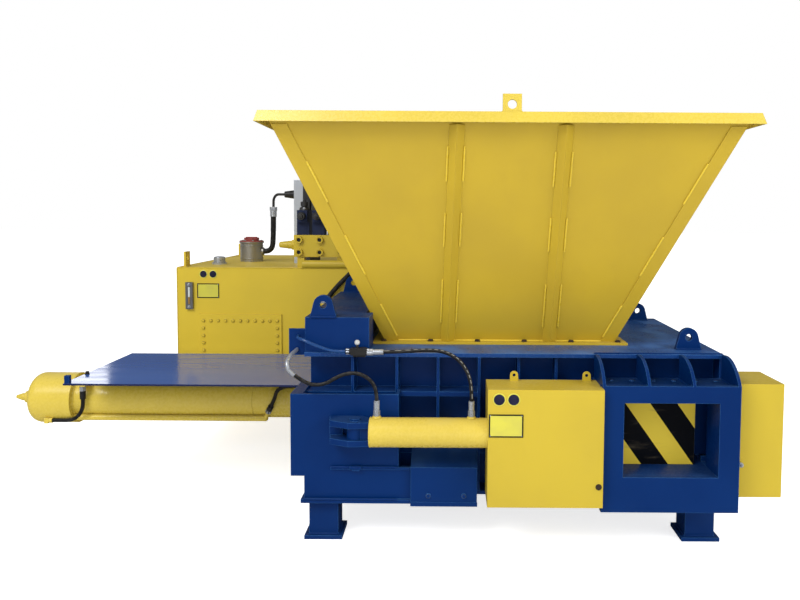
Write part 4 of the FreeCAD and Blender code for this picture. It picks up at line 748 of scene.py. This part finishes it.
side_coil = [(0, 0), (0, 25), (8, 27), (44, 27), (48, 24), (48, 15), (58, 13), (60, 0)]
top_coil = [(0, 0), (0, 38), (22, 30), (22, 22), (30, 22), (30, 27), (58, 27), (62, 20), (62, 12), (74, 12),
            (76, 8), (76, 0)]
knob = [(0, 0), (0, 9), (12, 9), (16, 6), (17, 0)]
coils, knobs = [], []
for k in range(3):
    valve_x = -1044 + 108 * k
    coils.append(turned(at(valve_x, 1630, 1662), to_front, side_coil, 32))
    coils.append(turned(at(valve_x, 1810, 1662), to_back, side_coil, 32))
    coils.append(turned(at(valve_x, 1720, 1703), to_top, top_coil, 28))
    knobs.append(turned(at(valve_x + 14, 1650, 1716), to_front, knob, 24))
new_piece("valve_coils", coils, black_plastic, "frame")
new_piece("valve_knobs", knobs, zinc, "frame")

# twenty cooling ribs on the motor, each set square to its round body, and a cowl over its own fan
motor_x, motor_z = -546, 1467
rib_foot, rib_height, rib_half, rib_length = 0.158, 0.018, 0.0025, 0.40
motor_ribs = []
for k in range(20):
    a = math.radians(18 * k)
    radial, side = np.array([math.cos(a), 0.0, math.sin(a)]), np.array([-math.sin(a), 0.0, math.cos(a)])
    foot = at(motor_x, 2180, motor_z) + rib_foot * radial
    corners = [foot + s * rib_half * side + r * rib_height * radial + y * np.array([0, rib_length, 0])
               for y in (0, 1) for s in (-1, 1) for r in (0, 1)]
    motor_ribs.append((np.array(corners), block_faces))
motor_ribs.append(turned(at(motor_x, 2640, motor_z), to_back,
                         [(0, 162), (4, 168), (64, 168), (72, 160), (74, 60), (60, 58), (60, 0)], 56))
fan_middle = at(-1072.6, 2343, 1690)
guard_wires = [ring_weld(fan_middle, to_right, radius, 1.8, 60.0, 6) for radius in range(84, 212, 16)]
new_piece("motor_ribs", motor_ribs, motor_blue, "frame")
new_piece("fan_guard_wires", guard_wires, zinc, "frame")

# ---------------------------------------------------------------- pipes and check valve
# Bent steel pipes clamped under the deck's edge and painted with the body, in a lighter blue that is a
# painted highlight, a bright elbow at the left corner, and a check valve with a pale ball handle.
# the pipes' lighter blue is a painted highlight along them
lit_pipe_enamel = enamel("lit_pipe_enamel", (0.006, 0.045, 0.170), (0.010, 0.055, 0.190), (0.05, 0.12, 0.25),
                     (0.05, 0.14, 0.32), edge=0.001, gloss=0.22, shine=0.7)
painted(lit_pipe_enamel, "steel_pipes")
painted(oiled_black, "cooler_line")
pale_ball = coated("pale_ball", 0.28, (0.55, 0.56, 0.56), (0.42, 0.43, 0.44), 60.0, coat=0.4)
valve_y, valve_z, ball_x, ball_radius = 208, 968, -480, 14.3
half_turn = np.linspace(0, math.pi, 17)
ball_profile = [(-ball_radius * math.cos(a), ball_radius * math.sin(a)) for a in half_turn]
ball = turned(at(ball_x, valve_y, valve_z + 47), to_top, ball_profile, 32)
new_piece("valve_ball", [ball], pale_ball, "frame")
left_collar = turned(at(-540, valve_y, valve_z), to_right,
                     [(0, 8), (0, 14), (4, 17), (18, 17), (20, 15), (26, 15)], 6)
right_collar = turned(at(-430, valve_y, valve_z), to_right,
                      [(0, 16), (0, 17), (10, 17), (12, 15), (12, 10)], 6)
new_piece("valve_collars", [left_collar, right_collar], zinc, "frame")

# ---------------------------------------------------------------- hoses
# Hydraulic hoses of black rubber over wound wire, with a pale dashed lay line, crimped steel sleeves and
# hexagon nuts. Each runs on a smooth spline through its listed points.


def hose_rubber(name, line, marked):
    """Black ribbed rubber that follows the hose: the first coordinate runs along it, the second round it. A
    dashed pale line runs along one side, and fine rings mark the wrap."""
    material, nodes, surface, place = finish(name, 0.46, shine=0.25)
    follow = split(nodes, nodes.nodes.new("ShaderNodeTexCoord").outputs["UV"])
    dash = combined(nodes, "FLOORED_MODULO", combined(nodes, "MULTIPLY", follow["X"], line), 1.0)
    dash = between(nodes, dash, 0.55, 0.60, 1.0, 0.0)
    near = combined(nodes, "ABSOLUTE", combined(nodes, "SUBTRACT", follow["Y"], 0.30), 0.0)
    stripe = combined(nodes, "MULTIPLY", between(nodes, near, 0.018, 0.030, 1.0, 0.0), dash)
    grime = between(nodes, cloud(nodes, place, 35.0, 6.0), 0.42, 0.70, 0.0, 1.0)
    shade = mixed(nodes, grime, (0.009, 0.009, 0.010), (0.022, 0.021, 0.020))
    shade = mixed(nodes, combined(nodes, "MULTIPLY", stripe, marked), shade, (0.42, 0.42, 0.38))
    nodes.links.new(shade, surface.inputs["Base Color"])
    rings = combined(nodes, "SINE", combined(nodes, "MULTIPLY", follow["X"], line * 14.0), 0.0)
    relief(nodes, surface, combined(nodes, "ADD", rings, cloud(nodes, place, 160.0, 3.0)), 0.0002)
    return material


def hose_curve(name, route, diameter, dashes, marked=0.12):
    """A hose on a smooth spline through free air, with its route's points as control points. Its diameter and
    its route are in millimetres, and dashes counts the strokes of its pale line."""
    curve = bpy.data.curves.new(name + "_rubber", "CURVE")
    curve.dimensions = "3D"
    spline = curve.splines.new("NURBS")
    spline.points.add(len(route) - 1)
    spline.points.foreach_set("co", np.array([[*at(*point), 1.0] for point in route]).ravel())
    spline.order_u = 3
    spline.use_endpoint_u = True
    curve.resolution_u = 14
    curve.bevel_depth = diameter / 2000
    curve.bevel_resolution = 8
    curve.use_fill_caps = True
    curve.materials.append(hose_rubber(name + "_rubber", dashes, marked))
    piece = bpy.data.objects.new(name + "_rubber", curve)
    bpy.context.scene.collection.objects.link(piece)
    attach(piece, "frame")
    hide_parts(name)
    return piece


gate_hose_left = [(-780, 76, 869.3), (-738, 76, 838), (-680, 75, 818), (-618, 71, 829), (-564, 66, 864),
                  (-508, 59, 886), (-448, 50, 886), (-393, 42, 857), (-362, 38, 805), (-362, 38, 745)]
gate_hose_right = [(-350, 205, 966), (-240, 203, 968), (-125, 176, 984), (-25, 132, 985), (48, 94, 952),
                   (96, 62, 890), (112, 38, 818), (112, 38, 745)]
ram_hose_left = [(-2160, 704, 590), (-2160, 704, 546), (-2170.5, 706, 509.5), (-2193, 710, 478.7),
                 (-2224, 717, 457.5), (-2261, 725, 447.5), (-2304, 731, 446), (-2355, 731, 446)]
ram_hose_right = [(-862, 545, 705), (-905, 545, 705), (-948, 560, 695), (-992, 592, 664),
                  (-1019.6, 661.9, 600.8), (-1053.1, 703.4, 541.3)]
return_hose = [(-1491, 2343, 1376), (-1462, 2343, 1376), (-1436, 2343, 1391), (-1421, 2343, 1418),
               (-1417, 2343, 1472), (-1414, 2343, 1566), (-1413, 2343, 1659)]
pump_hose = [(-868, 1592, 1075), (-800, 1592, 1165), (-712, 1592, 1248), (-636, 1592, 1340),
             (-576, 1644, 1412), (-546, 1738, 1467), (-546, 1838, 1467)]
hose_curve("gate_hose_left", gate_hose_left, diameter=19, dashes=18)
hose_curve("gate_hose_right", gate_hose_right, diameter=19, dashes=18, marked=0.75)
hose_curve("ram_hose_left", ram_hose_left, diameter=22, dashes=16)
hose_curve("ram_hose_right", ram_hose_right, diameter=22, dashes=16)
hose_curve("return_hose", return_hose, diameter=42, dashes=6)
hose_curve("pump_hose", pump_hose, diameter=34, dashes=8)
painted(zinc, "hose_fittings")


def sleeve(route, length, outer):
    """A crimped sleeve and nut where a route starts, pointing away from the hose: four rings pressed into the
    sleeve, then a hexagon with a chamfer."""
    tip, before = np.array(route[:2], float)
    toward, radius = tip - before, outer / 2
    shank = length * 0.6
    crimps = [(-7, radius - 4), (-7, radius + 0.4)]
    for k in range(4):
        start, end = -5 + k * (shank + 2) / 4, -5 + (k + 1) * (shank + 2) / 4
        middle = (start + end) / 2
        crimps += [(start, radius + 0.8), (middle, radius + 0.8)]
        crimps += [(middle + 1, radius + 0.2), (end - 1, radius + 0.2)]
    crimps += [(shank, radius - 1), (shank, 0)]
    nut = [(shank - 1, 0), (shank - 1, radius + 0.5), (shank + 1.5, radius + 2.5), (length - 2, radius + 2.5),
           (length, radius + 0.5), (length, 0)]
    return [turned(at(*tip), toward, crimps, 40), turned(at(*tip), toward, nut, 6)]


sleeves = []
for route, length, outer in ((gate_hose_left[::-1], 70, 28), (gate_hose_right[::-1], 70, 28),
                             (gate_hose_right, 79.5, 28), (return_hose[::-1], 70, 50),
                             (pump_hose[::-1], 26, 42), (pump_hose, 40, 42)):
    sleeves += sleeve(route, length, outer)
new_piece("hose_sleeves", sleeves, zinc, "frame", sharp=28)
dark_sleeves = []
for route, length in ((ram_hose_left, 70), (ram_hose_right[::-1], 50), (ram_hose_right, 50)):
    dark_sleeves += sleeve(route, length, 32)
new_piece("ram_hose_sleeves", dark_sleeves, oiled_black, "frame", sharp=28)

# the pump's hose ends in a port block, bolted through its flange to the tank's front sheet
port_body = block(at(-919, 1564, 1008), at(-875, 1608, 1052))
port_flange = block(at(-933, 1606, 994), at(-861, 1621, 1066))
new_piece("tank_port_block", [port_body, port_flange], tank_enamel, "frame", rounding=0.004)

# ---------------------------------------------------------------- small parts of the front
# A plated stud with its nut on the right guard's tab, a round clamp on the side plate's sill and the pipe
# cover's lower lip, all fixed to the body.
stud = turned(at(1463, 32, 440), to_front,
              [(0, 0), (0, 13), (12, 13), (13, 11), (13, 6), (26, 6), (27, 5), (27, 0)], 6)
new_piece("guard_stud", [stud], zinc, "frame", sharp=28)
clamp = turned(at(-506, 104, 386), to_right, [(0, 0), (0, 9), (2, 11), (58, 11), (60, 9), (60, 0)], 20)
clamp_foot = block(at(-492, 96, 372), at(-458, 110, 384))
new_piece("bar_clamp", [clamp, clamp_foot], blue_enamel, "frame")
cover_lip = block(at(-196, 92.5, 190), at(147, 96.5, 214))
new_piece("cover_lip", [cover_lip], blue_enamel, "frame", rounding=0.0012)

# ---------------------------------------------------------------- bolts
# Hexagon screws with washers hold the hopper's flange, the cylinders' glands, the guards and the port
# block, and are dark with oil and dust. Those of the pipe cover, the window plate's shelf and the hatch are
# painted with what they hold. All heads are chamfered.
bolt_steel = enamel("bolt_steel", (0.030, 0.022, 0.018), (0.055, 0.035, 0.022), (0.06, 0.045, 0.035),
                    (0.12, 0.10, 0.09), edge=0.0012, gloss=0.5, shine=0.12)
painted(bolt_steel, "hex_bolts")


def screw_head(place, axis, across, height):
    """A washer under a hexagon head whose top corners are chamfered."""
    corner = across / math.sqrt(3)
    washer = [(0, 0), (0, corner * 1.22), (2.0, corner * 1.22), (2.4, corner * 1.15), (2.4, 0)]
    head = [(2.0, 0), (2.0, corner + 0.3), (height - 1.5, corner + 0.3), (height + 0.4, corner * 0.84),
            (height + 0.4, 0)]
    return [turned(place, axis, washer, 28), turned(place, axis, head, 6)]


heads, blue_heads, yellow_heads = [], [], []
flange_half, first_screw, screw_pitch = 715, 58, (1430 - 106) / 5
for y in (546.0, 1214.0):
    for k in range(6):
        x = hopper_middle - flange_half + first_screw + k * screw_pitch
        heads += screw_head(at(x, y, 967), to_top, 24, 10)
main_circle, cross_circle = 131, 112.5
for k in range(10):
    a = math.radians(36 * k + 18)
    y, z = main_axis[0] + main_circle * math.cos(a), main_axis[1] + main_circle * math.sin(a)
    heads += screw_head(at(-842, y, z), to_left, 24, 12)
for k in range(10):
    a = math.radians(36 * k)
    x, z = cross_axis_x + cross_circle * math.cos(a), cross_axis_z + cross_circle * math.sin(a)
    heads += screw_head(at(x, 1645, z), to_back, 16, 9)
heads += screw_head(at(738, guard_front, 348), to_front, 22, 8)
heads += screw_head(at(1458, 40, 440), to_front, 18, 8)
for x in (-926, -868):
    for z in (1001, 1059):
        heads += screw_head(at(x, 1606, z), to_front, 11, 7)
for x in (-104, 78):
    blue_heads += screw_head(at(x, 96, 246), to_front, 20, 8)
for k in range(6):
    blue_heads += screw_head(at(842 + k * 109, 196, 824), to_top, 20, 8)
hatch_face, hatch_left, hatch_right, hatch_top, hatch_low = 1610, -1742, -1220, 921, 605
for k in range(11):
    for z in (hatch_top, hatch_low):
        x = hatch_left + k * (hatch_right - hatch_left) / 10
        yellow_heads += screw_head(at(x, hatch_face, z), to_front, 19, 8)
for k in range(1, 6):
    for x in (hatch_left, hatch_right):
        z = hatch_top - k * (hatch_top - hatch_low) / 6
        yellow_heads += screw_head(at(x, hatch_face, z), to_front, 19, 8)
new_piece("screw_heads", heads, bolt_steel, "frame", sharp=28)
new_piece("blue_screw_heads", blue_heads, blue_enamel, "frame", sharp=28)
new_piece("hatch_screw_heads", yellow_heads, tank_enamel, "frame", sharp=28)

# ---------------------------------------------------------------- the end
bpy.context.view_layer.update()
